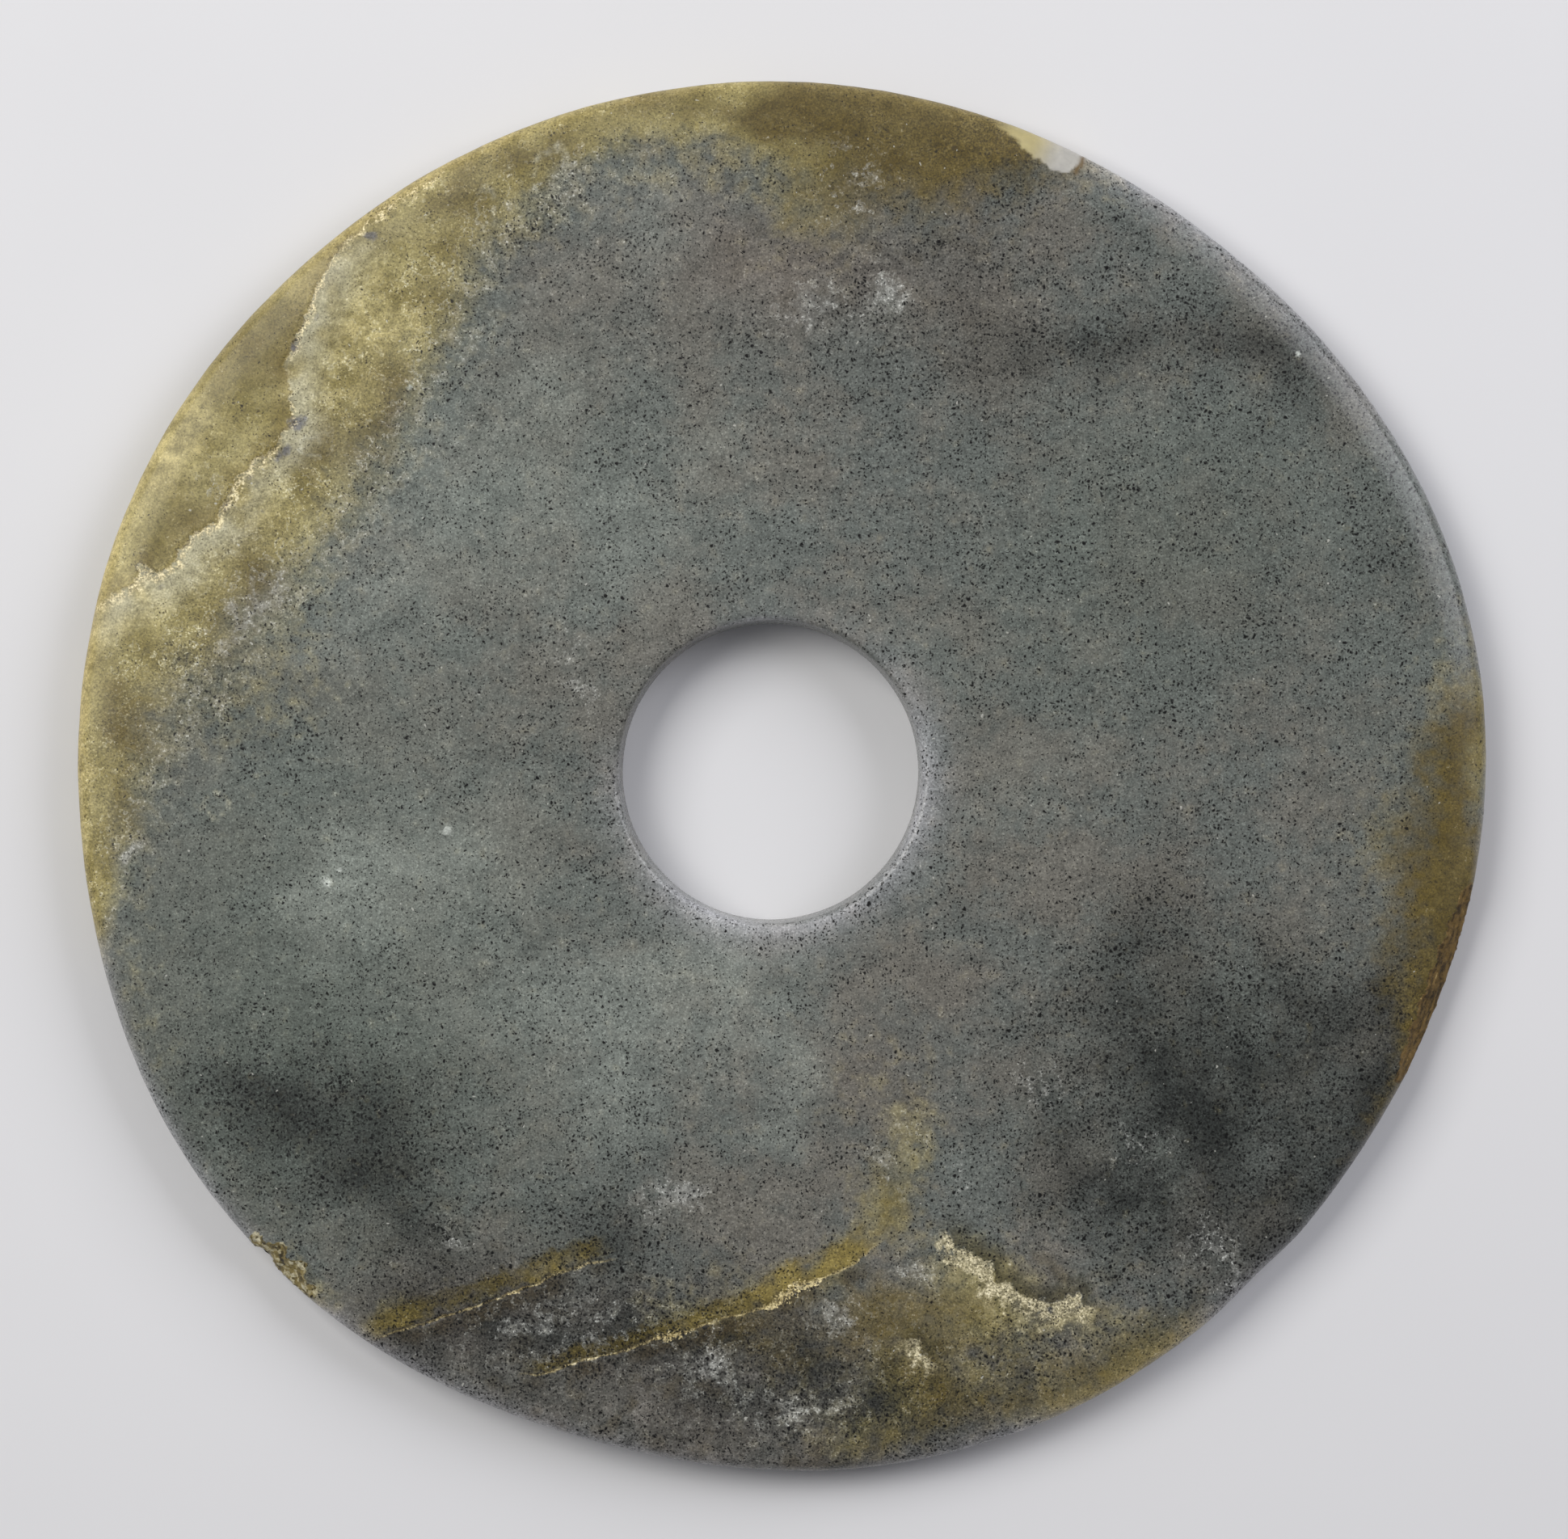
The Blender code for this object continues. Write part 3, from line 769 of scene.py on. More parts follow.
def add_strip(known, first_row, rows):
    """Adds rows of points below a first row that is there already, and returns all numbers."""
    below = {name: values[1:] for name, values in rows.items()}
    return np.vstack((first_row, add_points(known, below)))


def stone_mesh():
    """What is known about each point, the faces, and how many faces come before the back's."""
    rim_bearing = rim_columns()
    hole_bearing = np.arange(HOLE_COLUMNS) * 360.0 / HOLE_COLUMNS
    outer = cartesian(rim_bearing, rim_radius(rim_bearing) - RIM_ROUND)
    inner = cartesian(hole_bearing, MOUTH)
    fill = face_points()
    x, y = joined(outer, inner, fill)
    z, broken = face_surface(x, y)
    known = {"x": x, "y": y, "z": z, "spread": polar(x, y)[1], **broken}
    face = triangulated(outer, inner, fill)

    edge = np.arange(len(rim_bearing))
    rim_numbers = add_strip(known, edge, rim_points(rim_bearing, z[edge]))
    rim = strip_faces(rim_numbers, outwards=True)

    mouth = len(edge) + np.arange(HOLE_COLUMNS)
    hole_numbers = add_strip(known, mouth, hole_points(hole_bearing, z[mouth]))
    hole = strip_faces(hole_numbers, outwards=False)

    last_rows = (rim_numbers[-1], hole_numbers[-1])
    outer, inner = [(known["x"][row], known["y"][row]) for row in last_rows]
    fill = hexagonal(BACK_STEP, RIM_ROUND + BACK_SHOULDER_WIDTH)
    back = triangulated(outer, inner, fill)[:, ::-1]
    fill_numbers = add_points(known, {"x": fill[0], "y": fill[1]})
    back = np.concatenate((*last_rows, fill_numbers))[back]

    faces = face.tolist() + rim.tolist() + hole.tolist() + back.tolist()
    return known, faces, len(faces) - len(back)


# --- What the material needs to know about each point


def flake_marks(bearing, depth, points):
    """The pale flake at the upper right rim: its cover, its yellower end and the crack in it."""
    share = (bearing - FLAKE_FIRST) / (FLAKE_LAST - FLAKE_FIRST)
    ragged = 0.8 * lumps(points, 1.6, 55, 2)
    reach = FLAKE_WIDTH * smooth((share + 0.05) / 0.22) * (1.0 - 0.75 * smooth((share - 0.3) / 0.7))
    ends = smooth((share + 0.02) / 0.04) * smooth((1.0 - share) / 0.3)
    cover = smooth((reach + ragged - depth) / 0.5) * ends
    from_crack = np.radians(bearing - FLAKE_FIRST) * RIM_RADIUS - 0.8 + 0.4 * ragged
    crack = bell(from_crack, 0.45) * smooth((4.2 - depth) / 1.0)
    return cover, smooth((share - 0.15) / 0.5), crack


def painted_edge_glow(bearing, radius, depth):
    """How much painted glow and painted highlight pale the stone at its rim and at the hole's mouth.
    """
    rim_share = np.interp(bearing, *zip(*RIM_PAINTED_GLOW), period=360.0)
    hole_share = np.interp(bearing, *zip(*HOLE_PAINTED_GLOW), period=360.0)
    from_rim = np.maximum(depth, 0.0)
    from_hole = np.maximum(radius - HOLE_MOUTH_RADIUS, 0.0)
    # Painted glow, standing for light through the thin rim and the hole's edge
    rim = RIM_PAINTED_GLOW_MOST * rim_share * np.exp(-((from_rim / RIM_PAINTED_GLOW_DEPTH) ** 1.6))
    hole = HOLE_PAINTED_GLOW_MOST * hole_share * np.exp(-((from_hole / HOLE_PAINTED_GLOW_DEPTH) ** 1.4))
    hole *= 0.35 + 0.65 * smooth(from_hole / 1.1)
    # A thin painted highlight along the hole's edge
    painted_highlight = sum(share * bell(turn_from(middle, bearing), 18.0) for middle, share in HOLE_PAINTED_HIGHLIGHT)
    return rim + hole + bell(radius - HOLE_MOUTH_RADIUS - 0.2, 0.45) * painted_highlight


def swirled(flat, under):
    """The x and y of each point, stirred, so that soft spots have cloudy outlines.

    The underside is stirred further, so that its clouds don't repeat the better face's.
    """
    x, y = flat[:, 0], flat[:, 1]
    x = x + 3.4 * lumps(flat, 22.0, 41, 3) + 16.0 * under * lumps(flat, 70.0, 42)
    y = y + 3.4 * lumps(flat, 22.0, 43, 3) + 16.0 * under * lumps(flat, 70.0, 44)
    return x + 1.8 * lumps(flat, 7.0, 51, 2), y + 1.8 * lumps(flat, 7.0, 52, 2)


def ground_fields(x, y, flat, under):
    """The clouds, patches and spots of the grey-green ground."""
    patch = lumps(flat, 6.0, 46, 2)
    second_patch = lumps(flat, 6.0, 47, 2)
    smoke = soft_spots(x, y, SMOKE_SPOTS) * (1.0 - 0.35 * under)
    return {
        "cloud": lumps(flat, 15.0, 45, 3),
        "patch": patch,
        "second_patch": second_patch,
        "blotch": lumps(flat, 3.6, 56, 2),
        "second_blotch": lumps(flat, 3.6, 57, 2),
        "streak": lumps(flat * np.array((0.4, 1.0, 1.0)), 3.0, 58, 2),
        "smoke": smoke * (1.0 + 0.4 * lumps(flat, 10.0, 53, 3)) + 0.09 * patch,
        "milk": soft_spots(x, y, MILK_SPOTS) + 0.12 * second_patch,
        "mauve": soft_spots(x, y, MAUVE_SPOTS),
        "green": soft_spots(x, y, GREEN_SPOTS),
        "mottle": soft_spots(x, y, MOTTLE_SPOTS),
    }


def skin_fields(x, y, bearing, depth, under):
    """The olive skin, what colours it, and the crystals that gather at its edge."""
    skin_depth = beside_route(x, y, OLIVE_EDGE)[0] * (1.0 - 0.3 * under)
    at_top = smooth((x + 58.0) / 22.0) * smooth(y / 40.0)
    olive = smooth(0.42 + skin_depth / (19.0 - 9.0 * at_top))
    olive += 0.26 * smooth(1.0 + skin_depth / 15.0) * (1.0 - olive)
    around = np.cos(np.radians(bearing - CREAM_AND_LIT_RIM_BEARING))
    # Paler cream rim towards the key lamp: partly the skin's own cream, partly painted light
    cream_and_lit_rim = 0.4 * bell(depth, 5.0) * smooth((around - 0.6) / 0.3)
    edge_clusters = 0.4 * bell(skin_depth + 3.0, 6.0) * smooth(-x / 40.0)
    return {
        "olive": olive + soft_spots(x, y, OLIVE_SPOTS),
        "sugar": bell(skin_depth - 7.0, 8.0) * (1.0 - 0.6 * at_top),
        "cream": (soft_spots(x, y, CREAM_SPOTS) + cream_and_lit_rim) * (1.0 - 0.4 * under),
        "brown": soft_spots(x, y, BROWN_SPOTS),
        "crystal": (soft_spots(x, y, CRYSTAL_SPOTS) + edge_clusters) * (1.0 - under),
    }


def fissure_fields(points, flat, under):
    """Distances from the fissures and ledges, and the marks that aren't stirred."""
    x, y, _z = points.T
    above = 1.0 - under
    fields = {}
    for name, route in ROUTES.items():
        fields[name], to_end = beside_route(x, y, route)
        ends = 1.0 if name == "left" else smooth(to_end / 5.0)
        fields[name + "_on"] = ends * above
    wobble = 0.9 * lumps(flat, 2.2, 59)
    fields["left_milky"] = above * smooth((96.0 - y) / 12.0)
    fields["line_gap"] = 0.2 * lumps(flat, 7.0, 48)
    fields["crumb"] = 0.12 + soft_spots(x, y, CRUMB_SPOTS)
    fields["golden"] = soft_spots(x, y, GOLDEN_SPOTS)
    fields["pit"] = above * soft_spots(x, y, PITS)
    fields["loops"] = above * loops(x + wobble, y - wobble, LOOPS)
    grains = [(*middle, size, size, 0, 1) for *middle, size in WHITE_GRAINS]
    fields["grain"] = above * soft_spots(x, y, grains)
    return fields


def edge_fields(points, bearing, radius, depth, under, known):
    """The painted glow of the edges, and the looks of the broken places."""
    height = points[:, 2]
    above = 1.0 - under
    along_rim = np.column_stack((np.radians(bearing) * radius / 3.2, depth / 0.6, height / 0.8))
    flake, side, crack = flake_marks(bearing, depth, points)
    return {
        # Painted glow and painted highlight, weaker low down on the rim
        "painted_glow": painted_edge_glow(bearing, radius, depth) * (0.35 + 0.65 * smooth(height / 8.0)),
        "chip_break": np.maximum(known["chip"], known["notch"]),
        "skin_break": known["skin"],
        "rim_fibres": lumps(along_rim, 1.0, 54),
        "flake": flake * above,
        "flake_side": side,
        "flake_crack": crack * above,
    }


def stone_fields(points, known):
    """Numbers that the material reads at each point of the stone."""
    bearing, radius = polar(points[:, 0], points[:, 1])
    depth = rim_radius(bearing) - radius
    under = smooth((7.5 - points[:, 2]) / 5.0)
    flat = points * np.array((1.0, 1.0, 0.35))
    x, y = swirled(flat, under)
    return {
        **ground_fields(x, y, flat, under),
        **skin_fields(x, y, bearing, depth, under),
        **fissure_fields(points, flat, under),
        **edge_fields(points, bearing, radius, depth, under, known),
    }


# --- Materials


def colour(red, green, blue):
    """A colour from its red, green and blue as a screen shows them, 0 to 255."""
    channels = []
    for shown in (red, green, blue):
        share = shown / 255.0
        channels.append(share / 12.92 if share < 0.04045 else ((share + 0.055) / 1.055) ** 2.4)
    return (*channels, 1.0)


class Value:
    """A node's output. Sums, differences and products of values are nodes too."""

    def __init__(self, shader, socket):
        self.shader = shader
        self.socket = socket

    def __add__(self, other):
        return self.shader.math("ADD", self, other)

    def __mul__(self, other):
        return self.shader.math("MULTIPLY", self, other)

    def __sub__(self, other):
        return self.shader.math("SUBTRACT", self, other)

    def __rsub__(self, other):
        return self.shader.math("SUBTRACT", other, self)

    def __abs__(self):
        return self.shader.math("ABSOLUTE", self)

    __radd__ = __add__
    __rmul__ = __mul__

    def sibling(self, name):
        """Another output of the same node."""
        return Value(self.shader, self.socket.node.outputs[name])


class Shader:
    """A material, with short ways to add nodes to it. Sizes are in millimetres."""

    def __init__(self, name):
        self.material = bpy.data.materials.new(name)
        self.material.use_nodes = True
        self.tree = self.material.node_tree
        self.surface = self.tree.nodes["Principled BSDF"]
        self.place = self.node("ShaderNodeTexCoord", "Object", {})

    def node(self, kind, output, inputs, **settings):
        """Adds a node, gives it its inputs and returns the output that is asked for."""
        made = self.tree.nodes.new(kind)
        for name, setting in settings.items():
            setattr(made, name, setting)
        for name, source in inputs.items():
            self.put(source, made.inputs[name])
        return Value(self, made.outputs[output])

    def put(self, source, socket):
        """Feeds a socket from another node's output, or sets it to a plain value."""
        if isinstance(source, Value):
            self.tree.links.new(source.socket, socket)
        else:
            socket.default_value = source

    def math(self, operation, first, second=0.0):
        """One step of arithmetic."""
        return self.node("ShaderNodeMath", 0, {0: first, 1: second}, operation=operation)

    def field(self, name):
        """A number that each point of the mesh carries."""
        return self.node("ShaderNodeAttribute", "Fac", {}, attribute_name=name)

    def ramp(self, source, low, high):
        """0 where source is low, 1 where it is high, smooth between."""
        inputs = {"Value": source, "From Min": low, "From Max": high}
        return self.node("ShaderNodeMapRange", "Result", inputs, interpolation_type="SMOOTHSTEP")

    def fall(self, source, low, high):
        """1 where source is low, 0 where it is high, smooth between."""
        return 1.0 - self.ramp(source, low, high)

    def band(self, away, middle, half_width, softness):
        """1 within half_width of middle, falling to 0 over softness."""
        return self.fall(abs(away - middle), half_width, half_width + softness)

    def moved(self, seed, stretch=(1.0, 1.0, 1.0), turn=0.0):
        """Coordinates shifted, turned about Z and stretched, so that noises differ."""
        inputs = {
            "Vector": self.place,
            "Location": (0.317 * seed, -0.173 * seed, 0.079 * seed),
            "Rotation": (0.0, 0.0, math.radians(turn)),
            "Scale": stretch,
        }
        return self.node("ShaderNodeMapping", "Vector", inputs, vector_type="TEXTURE")

    def cloud(self, size, seed, detail=2.0, roughness=0.5, **shape):
        """Noise about 0.5, with lumps of a size in mm."""
        inputs = {
            "Vector": self.moved(seed, **shape),
            "Scale": 1.0 / (size * MM),
            "Detail": detail,
            "Roughness": roughness,
        }
        return self.node("ShaderNodeTexNoise", "Fac", inputs)

    def mix(self, factor, first, second):
        """One colour laid over another."""
        return self.node("ShaderNodeMix", 2, {0: factor, 6: first, 7: second}, data_type="RGBA")

    def scaled(self, base, factor):
        """A colour made lighter or darker by a factor."""
        inputs = {0: base, "Scale": factor}
        return self.node("ShaderNodeVectorMath", 0, inputs, operation="SCALE")


class JadeShader(Shader):
    """The stone's material, with the few noises that all its layers share."""

    def __init__(self):
        super().__init__("speckled_jade")
        self.ragged = self.cloud(2.6, 1)
        self.fine = self.cloud(1.25, 2, detail=3.0, roughness=0.65)
        self.micro = self.cloud(0.36, 3, detail=1.0, roughness=0.6)
        self.fibre = self.cloud(1.3, 4, detail=1.0, stretch=(3.2, 1.0, 1.0), turn=28.0)
        self.grit = self.fine * 0.6 + self.micro * 0.4
        self.warp = self.cloud(0.8, 5, detail=0.0).sibling("Color")
        self.small_cells = self.cells(0.5, 92)
        self.large_cells = self.cells(0.76, 95)
        self.web = self.ramp(self.large_cells[0], 0.4, 0.75)
        vein = self.ragged + self.uneven(fine=0.35)
        self.rings = self.band(vein, 0.56, 0.0, 0.035)

    def uneven(self, ragged=0.0, fine=0.0, micro=0.0):
        """The shared noises about 0 instead of 0.5, each as strong as asked, added up."""
        total = 0.0
        for cloud, strength in ((self.ragged, ragged), (self.fine, fine), (self.micro, micro)):
            if strength:
                total = (cloud - 0.5) * strength + total
        return total

    def cells(self, size, seed):
        """Distance from the middle of crooked cells of that size, and a number of each cell."""
        inputs = {0: self.warp, 1: (0.75 * MM,) * 3, 2: self.moved(seed)}
        crooked = self.node("ShaderNodeVectorMath", 0, inputs, operation="MULTIPLY_ADD")
        inputs = {"Vector": crooked, "Scale": 1.0 / (size * MM)}
        away = self.node("ShaderNodeTexVoronoi", "Distance", inputs)
        own = self.node("ShaderNodeSeparateColor", 0, {0: away.sibling("Color")})
        return away, own

    def specks(self, cells, least, most):
        """Spots of different sizes in the middle of cells, as shares of the cell's size."""
        away, own = cells
        size = self.math("MAXIMUM", own * (most - least) + least, 0.001)
        return self.fall(away, size * 0.6, size * 1.3)

    def from_route(self, name, amount):
        """Distance from a route, in mm, wandering a little as a real crack does."""
        return self.field(name) + self.uneven(ragged=amount, fine=amount)


def jade():
    """Speckled grey-green nephrite with olive skin, fissures and pale crystal clusters.

    Each layer takes the stone's shader, s, and the colour so far, and returns the new colour.
    """
    s = JadeShader()
    base = ground(s)
    layers = (
        olive_skin,
        left_fissure,
        lower_fissures,
        ledges,
        crystals,
        # painted glow of the thin edges
        painted_glowing_edges,
        grained,
        add_specks,
        breaks,
    )
    for layer in layers:
        base = layer(s, base)
    s.put(base, s.surface.inputs["Base Color"])

    chip = s.field("chip_break")
    broken_skin = s.field("skin_break")
    rough = (
        0.27
        + s.uneven(ragged=0.12)
        + chip * 0.3
        + broken_skin * 0.4
        + s.field("pit") * 0.15
        + s.ramp(s.field("olive"), 0.2, 1.0) * 0.2
    )
    s.put(rough, s.surface.inputs["Roughness"])
    s.surface.inputs["IOR"].default_value = 1.6
    s.surface.inputs["Specular IOR Level"].default_value = 0.3

    relief = (chip + broken_skin) * 0.25 + 0.02
    height = relief * s.cloud(0.9, 72, detail=0.0)
    inputs = {"Strength": 1.0, "Distance": MM, "Height": height}
    s.put(s.node("ShaderNodeBump", "Normal", inputs), s.surface.inputs["Normal"])
    return s.material


def ground(s):
    """The grey-green ground, with clouds of other greys and paler and smoky places."""
    hue = s.field("cloud") + s.uneven(ragged=1.4)
    base = s.mix(s.ramp(hue, -0.6, 0.6), colour(100, 105, 101), colour(109, 107, 100))
    base = s.mix(s.field("green"), base, colour(97, 104, 97))
    base = s.mix(s.field("mauve") * 0.8, base, colour(103, 97, 90))
    base = s.mix(s.ramp(s.field("milk"), 0.0, 1.0), base, colour(146, 152, 144))
    lumpy = s.field("mottle")
    pale = s.ramp(s.field("blotch") + s.uneven(ragged=1.0), 0.0, 0.6)
    base = s.mix(lumpy * pale * 0.3, base, colour(146, 141, 134))
    tan = s.ramp(s.field("second_blotch") + s.uneven(fine=0.8), 0.0, 0.6)
    base = s.mix(lumpy * tan * 0.34, base, colour(96, 84, 56))
    smoke = s.field("smoke") * (1.0 + s.uneven(ragged=0.9, fine=0.4))
    return s.mix(s.ramp(smoke, 0.0, 1.05), base, colour(43, 46, 44))


def olive_skin(s, base):
    """Olive and cream weathering that soaked in from the rim."""
    cover = s.ramp(s.field("olive") + s.uneven(ragged=0.7, fine=0.25), 0.05, 0.85)
    tint = s.field("second_patch") + s.uneven(ragged=0.9, fine=0.3)
    skin = s.mix(s.ramp(tint, -0.8, 0.8), colour(124, 113, 62), colour(162, 152, 102))
    cream = s.field("cream") + s.uneven(ragged=0.9, fine=0.4)
    skin = s.mix(s.ramp(cream, 0.1, 1.2), skin, colour(206, 192, 136))
    browned = s.ramp(s.field("brown") + s.uneven(ragged=0.65, fine=0.4), 0.0, 1.0)
    skin = s.mix(browned * 0.88, skin, colour(76, 62, 18))
    clear = s.fall(browned, 0.0, 1.3)
    sugary = s.field("sugar")
    haze = s.rings * s.ramp(s.field("patch"), -0.5, 0.4) * s.ramp(s.fine, 0.35, 0.6)
    skin = s.mix(haze * clear * (sugary + 0.25) * 0.5, skin, colour(196, 192, 162))
    gold = s.ramp(s.fine, 0.56, 0.72) * s.ramp(s.field("second_patch"), -0.3, 0.5)
    skin = s.mix(gold * clear * (sugary + 0.2) * 0.3, skin, colour(206, 198, 156))
    crowd = sugary * s.ramp(s.field("patch"), -0.4, 0.5) * 0.12
    grains = s.ramp(s.micro + s.uneven(fine=0.5) + crowd, 0.70, 0.86)
    skin = s.mix(grains * clear * 0.35, skin, colour(214, 212, 186))
    return s.mix(cover, base, skin)


def left_fissure(s, base):
    """The crumbly step in the olive skin: brown outside it, cream and pale grey inside, with painted
    shade in its pits.
    """
    away = s.from_route("left", 2.8) * -1.0
    on = s.field("left_on")
    inside = s.ramp(away, -0.15, 0.15)
    near = s.ramp(away, -4.5, 0.0) * (1.0 - inside)
    base = s.mix(on * near * 0.2, base, colour(112, 92, 46))
    pale = inside * s.fall(away, 1.5, 8.5) * s.ramp(s.field("second_patch"), -0.9, 0.2)
    base = s.mix(s.field("left_milky") * pale * 0.68, base, colour(176, 173, 148))
    # Painted shade: blue-grey in the pits
    painted_pit_shade = s.ramp(s.field("pit") + s.uneven(ragged=0.8, fine=1.2), 0.35, 0.9)
    base = s.mix(painted_pit_shade * 0.75, base, colour(84, 86, 98))
    crumb = s.field("crumb")
    edge = s.ramp(away, -0.5, 0.1) * s.fall(away, 0.2, crumb * 1.7 + 0.4)
    cover = on * edge * s.ramp(s.grit, 0.42, 0.58) * s.ramp(crumb, 0.0, 0.7)
    crumbs = s.mix(s.ramp(s.grit, 0.42, 0.6), colour(168, 144, 88), colour(222, 210, 168))
    base = s.mix(cover, base, crumbs)
    crack = s.band(away, -0.15, 0.02, 0.22) * s.ramp(s.field("patch"), -0.3, 0.3)
    return s.mix(on * crack * 0.55, base, colour(62, 52, 34))


def lower_fissures(s, base):
    """Two thin cream lines with olive-brown stain beside them, and painted shade along their lower
    side.
    """
    golden = s.ramp(s.field("golden"), 0.1, 0.8)
    tint = s.mix(golden, colour(84, 74, 35), colour(132, 117, 62))
    uneven = s.ramp(s.field("patch") + s.uneven(ragged=2.0), -1.3, 0.3)
    width = s.ramp(s.field("crumb"), 0.3, 1.2) * s.ramp(s.grit, 0.40, 0.64) * 2.2
    gaps = s.ramp(s.grit + s.field("line_gap"), 0.24, 0.52)
    cream = s.mix(s.ramp(s.grit, 0.4, 0.62), colour(148, 130, 82), colour(198, 184, 138))
    for name, offset in (("short", 2.6), ("long", 1.2)):
        away = s.from_route(name, 0.8)
        loose = s.from_route(name, 3.4)
        on = s.field(name + "_on")
        stain = s.band(loose, offset, golden * 1.8 + 0.3, 2.2) * s.ramp(away, -0.2, 0.3)
        base = s.mix(on * stain * uneven * 0.85, base, tint)
        # Painted shade: a dark band along the lower side of each groove
        below = s.band(loose, -1.5, 0.5, 2.2) * s.ramp(s.field("second_patch"), -0.6, 0.3)
        base = s.mix(on * below * 0.7, base, colour(62, 54, 38))
        line = s.fall(abs(away), width - 0.1, width + 0.34)
        base = s.mix(on * line * gaps * 0.85, base, cream)
    return base


def ledges(s, base):
    """A crumbling cream edge at the bottom, and a smaller one under it."""
    for name, reach in (("ledge", 9.0), ("low_ledge", 4.0)):
        away = s.from_route(name, 2.4)
        on = s.field(name + "_on")
        shade = s.ramp(away, 0.0, 0.3) * s.fall(away, 0.5, 5.0)
        base = s.mix(on * shade * 0.7, base, colour(70, 65, 42))
        inside = on * s.ramp(away, 0.1, -0.2) * s.ramp(away, -reach, -0.5)
        near = s.ramp(away, -4.5, -0.2)
        haze = s.ramp(s.ragged + near * 0.1, 0.42, 0.62)
        base = s.mix(inside * haze * 0.5, base, colour(156, 148, 118))
        cover = s.ramp(s.fine + near * 0.26, 0.52, 0.78)
        crumbs = s.mix(s.ramp(s.micro, 0.25, 0.65), colour(146, 137, 102), colour(210, 201, 168))
        base = s.mix(inside * cover * 0.9, base, crumbs)
    return base


def crystals(s, base):
    """Clusters of small white crystals just under the polish."""
    place = s.field("crystal")
    crowd = place + s.uneven(ragged=1.6, fine=1.0)
    haze = s.ramp(crowd, 0.35, 1.3) * s.ramp(place, 0.0, 0.25)
    lit = s.mix(s.ramp(s.fine, 0.3, 0.7), colour(118, 119, 116), colour(164, 165, 160))
    base = s.mix(haze * 0.6, base, lit)
    threads = s.rings * s.ramp(place, 0.0, 0.5) * s.ramp(s.fine, 0.38, 0.6)
    base = s.mix(threads * 0.35, base, colour(172, 174, 168))
    dots = s.ramp(s.micro + s.uneven(fine=0.7), 0.62, 0.80) * s.ramp(crowd, 0.2, 0.9)
    base = s.mix(dots * 0.3, base, colour(200, 202, 198))
    looped = s.ramp(s.field("loops") + s.uneven(fine=1.6), 0.3, 1.3)
    base = s.mix(looped * 0.5, base, colour(176, 174, 152))
    grain = s.ramp(s.field("grain") + s.uneven(fine=0.8), 0.3, 0.8)
    return s.mix(grain * 0.7, base, colour(196, 202, 194))


def painted_glowing_edges(s, base):
    """Painted glow: the colour is paler at the thin edges, standing for light that comes through
    them.
    """
    # Painted glow, lavender-white on the grey stone and yellower on the olive skin
    painted_glow = s.field("painted_glow") * (1.0 + s.uneven(ragged=0.5, fine=0.4))
    tint = s.mix(s.ramp(s.field("olive"), 0.1, 0.7), colour(204, 204, 210), colour(214, 194, 132))
    return s.mix(painted_glow, base, tint)


def grained(s, base):
    """The stone's felted grain: fibres, lumps and points, coarser in the sugary skin."""
    lumpy = s.field("mottle") + 1.0
    sugary = s.field("sugar")
    tone = (
        1.0
        + s.field("patch") * 0.11
        + s.field("streak") * 0.1
        + s.uneven(ragged=0.48) * lumpy
        + s.uneven(fine=0.54) * (lumpy + sugary * 0.5)
        + s.uneven(micro=1.35) * (1.0 + s.field("smoke") + sugary * 0.3)
        + (s.fibre - 0.5) * 0.3
        + s.ramp(s.micro, 0.58, 0.78) * s.fall(s.field("olive"), 0.2, 1.0) * 0.45
        + s.web * 0.09
    )
    return s.scaled(base, tone)


def add_specks(s, base):
    """Black specks all through the stone, sparser in the olive skin, and a few white ones."""
    smoky = s.ramp(s.field("smoke"), 0.05, 0.6)
    plenty = (
        0.95
        - s.ramp(s.field("olive"), 0.0, 1.0) * 0.42
        - s.ramp(s.field("mauve"), 0.3, 1.0) * 0.12
        - s.ramp(s.field("cream"), 0.2, 0.8) * 0.3
        - s.ramp(s.field("milk"), 0.1, 0.7) * 0.25
        + smoky * 0.4
        + s.field("patch") * 0.3
        - s.field("streak") * 0.15
        - s.field("cloud") * 0.2
    )
    in_skin = s.ramp(s.field("olive"), 0.3, 1.0)
    small = s.specks(s.small_cells, 0.08, (plenty + in_skin * 0.2) * 0.38)
    ink = s.mix(in_skin, colour(26, 27, 26), colour(66, 56, 30))
    base = s.mix(small * 0.88, base, ink)
    large = s.specks(s.large_cells, 0.05, (plenty - smoky * 0.2) * 0.33)
    ink = s.mix(in_skin, colour(10, 10, 10), colour(40, 34, 18))
    base = s.mix(large * 0.97, base, ink)
    white = s.specks(s.cells(2.1, 97), -0.1, 0.1)
    return s.mix(white * 0.6, base, colour(205, 205, 196))


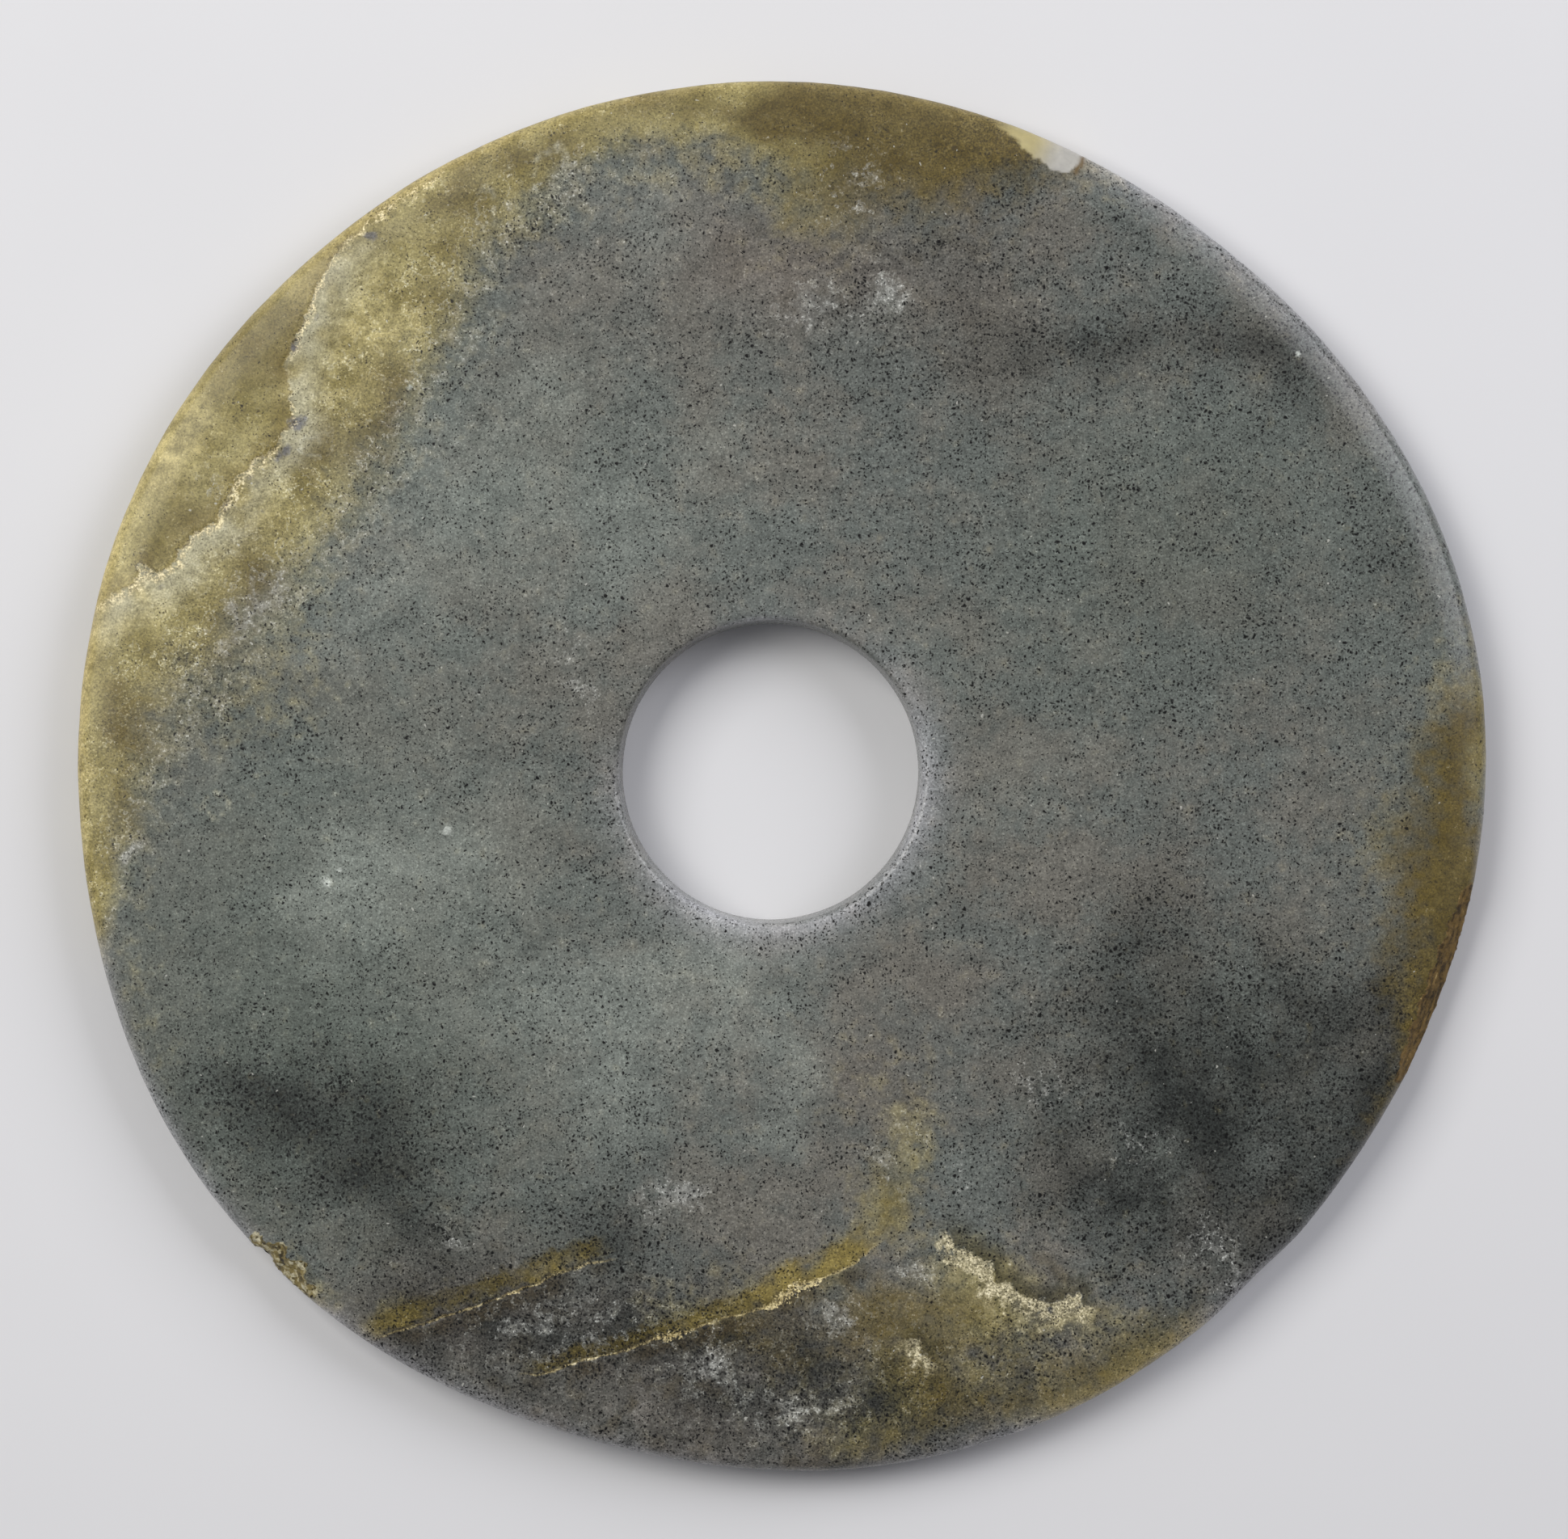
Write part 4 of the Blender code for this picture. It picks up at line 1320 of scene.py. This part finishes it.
def breaks(s, base):
    """Amber crystal in the chip, brown fibres in the rough skin and cream in the flake."""
    shine = s.large_cells[1] + s.uneven(ragged=1.6, fine=1.0)
    facet = s.mix(s.ramp(shine, -0.2, 0.5), colour(52, 45, 26), colour(134, 120, 74))
    facet = s.mix(s.ramp(shine, 0.5, 1.2), facet, colour(212, 206, 176))
    facet = s.scaled(facet, 1.0 + s.uneven(fine=1.2, micro=0.8))
    base = s.mix(s.ramp(s.field("chip_break"), 0.1, 0.8), base, facet)
    grain = s.field("rim_fibres") + s.uneven(fine=1.4, micro=1.0)
    rust = s.mix(s.ramp(grain, -0.7, 0.5), colour(50, 38, 18), colour(118, 94, 50))
    rust = s.mix(s.ramp(grain, 0.5, 1.0), rust, colour(190, 164, 108))
    base = s.mix(s.ramp(s.field("skin_break"), 0.05, 0.6), base, rust)
    side = s.ramp(s.field("flake_side"), 0.0, 1.0)
    paper = s.mix(side, colour(176, 174, 168), colour(180, 168, 120))
    paper = s.scaled(paper, 1.0 + s.uneven(ragged=0.3, fine=0.3))
    base = s.mix(s.field("flake") * 0.92, base, paper)
    return s.mix(s.field("flake_crack"), base, colour(104, 84, 50))


def floor_material():
    """A plain pale floor with the faintest unevenness."""
    s = Shader("pale_floor")
    base = s.mix(s.cloud(60.0, 1), colour(222, 222, 224), colour(226, 226, 228))
    s.put(base, s.surface.inputs["Base Color"])
    s.surface.inputs["Roughness"].default_value = 0.8
    s.surface.inputs["Specular IOR Level"].default_value = 0.2
    return s.material


# --- Pieces

UPPER_ISLAND = 0.79  # share of the texture's side for the face, rim and hole
LOWER_ISLAND = 0.36  # and for the underside
ISLAND_MARGIN = 0.002
FLOOR_SIZE = 8.0  # metres
FLOOR_GAP = 0.1  # how far below the disc it lies


def add_bake_map(mesh, known, back_starts):
    """Lays the face with the rim and hole in one round island, and the underside in another."""
    bearing, radius = polar(known["x"], known["y"])
    angle = np.radians(bearing)
    upper = known["spread"] / known["spread"].max()
    upper_u = ISLAND_MARGIN + UPPER_ISLAND / 2 * (1 + upper * np.cos(angle))
    upper_v = 1 - ISLAND_MARGIN - UPPER_ISLAND / 2 * (1 - upper * np.sin(angle))
    lower = radius / RIM_RADIUS
    lower_u = 1 - ISLAND_MARGIN - LOWER_ISLAND / 2 * (1 + lower * np.cos(angle))
    lower_v = ISLAND_MARGIN + LOWER_ISLAND / 2 * (1 + lower * np.sin(angle))
    corners = np.empty(len(mesh.loops), int)
    mesh.loops.foreach_get("vertex_index", corners)
    on_back = np.arange(len(corners)) >= mesh.polygons[back_starts].loop_start
    u = np.where(on_back, lower_u[corners], upper_u[corners])
    v = np.where(on_back, lower_v[corners], upper_v[corners])
    layer = mesh.uv_layers.new(name="OFBake")
    layer.data.foreach_set("uv", np.column_stack((u, v)).ravel())


def make_stone():
    """The jade disc, which stands for the CAD disc."""
    known, faces, back_starts = stone_mesh()
    points = np.column_stack((known["x"], known["y"], known["z"]))
    mesh = bpy.data.meshes.new("jade_disc")
    mesh.from_pydata((points * MM).tolist(), [], faces)
    for name, values in stone_fields(points, known).items():
        attribute = mesh.attributes.new(name, "FLOAT", "POINT")
        attribute.data.foreach_set("value", values.astype(np.float32))
    add_bake_map(mesh, known, back_starts)
    mesh.shade_smooth()
    mesh.materials.append(jade())
    stone = bpy.data.objects.new("jade_disc", mesh)
    bpy.context.scene.collection.objects.link(stone)
    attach(stone, "root")
    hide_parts("disc")


def make_floor():
    """A wide floor just under the disc."""
    bpy.ops.mesh.primitive_plane_add(size=FLOOR_SIZE, location=(0.0, 0.0, -FLOOR_GAP * MM))
    floor = bpy.context.object
    floor.name = "floor"
    floor.data.materials.append(floor_material())


# --- Camera and light

FRAME_WIDTH = 265.8 * MM  # how much the picture shows across, level with the face
FRAME_MIDDLE = (0.34 * MM, 1.10 * MM)
LENS = 120.0
SENSOR = 36.0
LAMP_DISTANCE = 1.5  # metres
LAMP_SIZE = 0.9
ROOM_COLOUR = (0.18, 0.18, 0.19, 1.0)


def make_camera():
    """Straight above the disc, with the disc's top at the top of the picture."""
    data = bpy.data.cameras.new("camera")
    data.lens = LENS
    data.sensor_width = SENSOR
    camera = bpy.data.objects.new("camera", data)
    distance = FRAME_WIDTH * LENS / SENSOR
    camera.location = (*FRAME_MIDDLE, THICKNESS * MM + distance)
    bpy.context.scene.collection.objects.link(camera)
    bpy.context.scene.camera = camera


def add_soft_lamp(name, direction, power, tint):
    """A square lamp that faces the disc's middle."""
    data = bpy.data.lights.new(name, "AREA")
    data.shape = "SQUARE"
    data.size = LAMP_SIZE
    data.energy = power
    data.color = tint
    lamp = bpy.data.objects.new(name, data)
    towards = Vector(direction).normalized()
    lamp.location = towards * LAMP_DISTANCE
    lamp.rotation_euler = towards.to_track_quat("Z", "Y").to_euler()
    bpy.context.scene.collection.objects.link(lamp)


def make_light():
    """A large soft lamp at the upper left, a cooler one at the right, and a dim room."""
    add_soft_lamp("key", (-0.66, 0.40, 0.95), 15.1, (1.0, 0.985, 0.95))
    add_soft_lamp("fill", (0.76, 0.46, 0.68), 11.0, (0.95, 0.95, 1.0))
    add_soft_lamp("back", (0.0, 0.86, 0.5), 2.5, (1.0, 1.0, 1.0))
    world = bpy.data.worlds.new("room")
    world.use_nodes = True
    world.node_tree.nodes["Background"].inputs["Color"].default_value = ROOM_COLOUR
    bpy.context.scene.world = world
    bpy.context.scene.view_settings.view_transform = "Standard"


make_camera()
make_light()
make_floor()
make_stone()
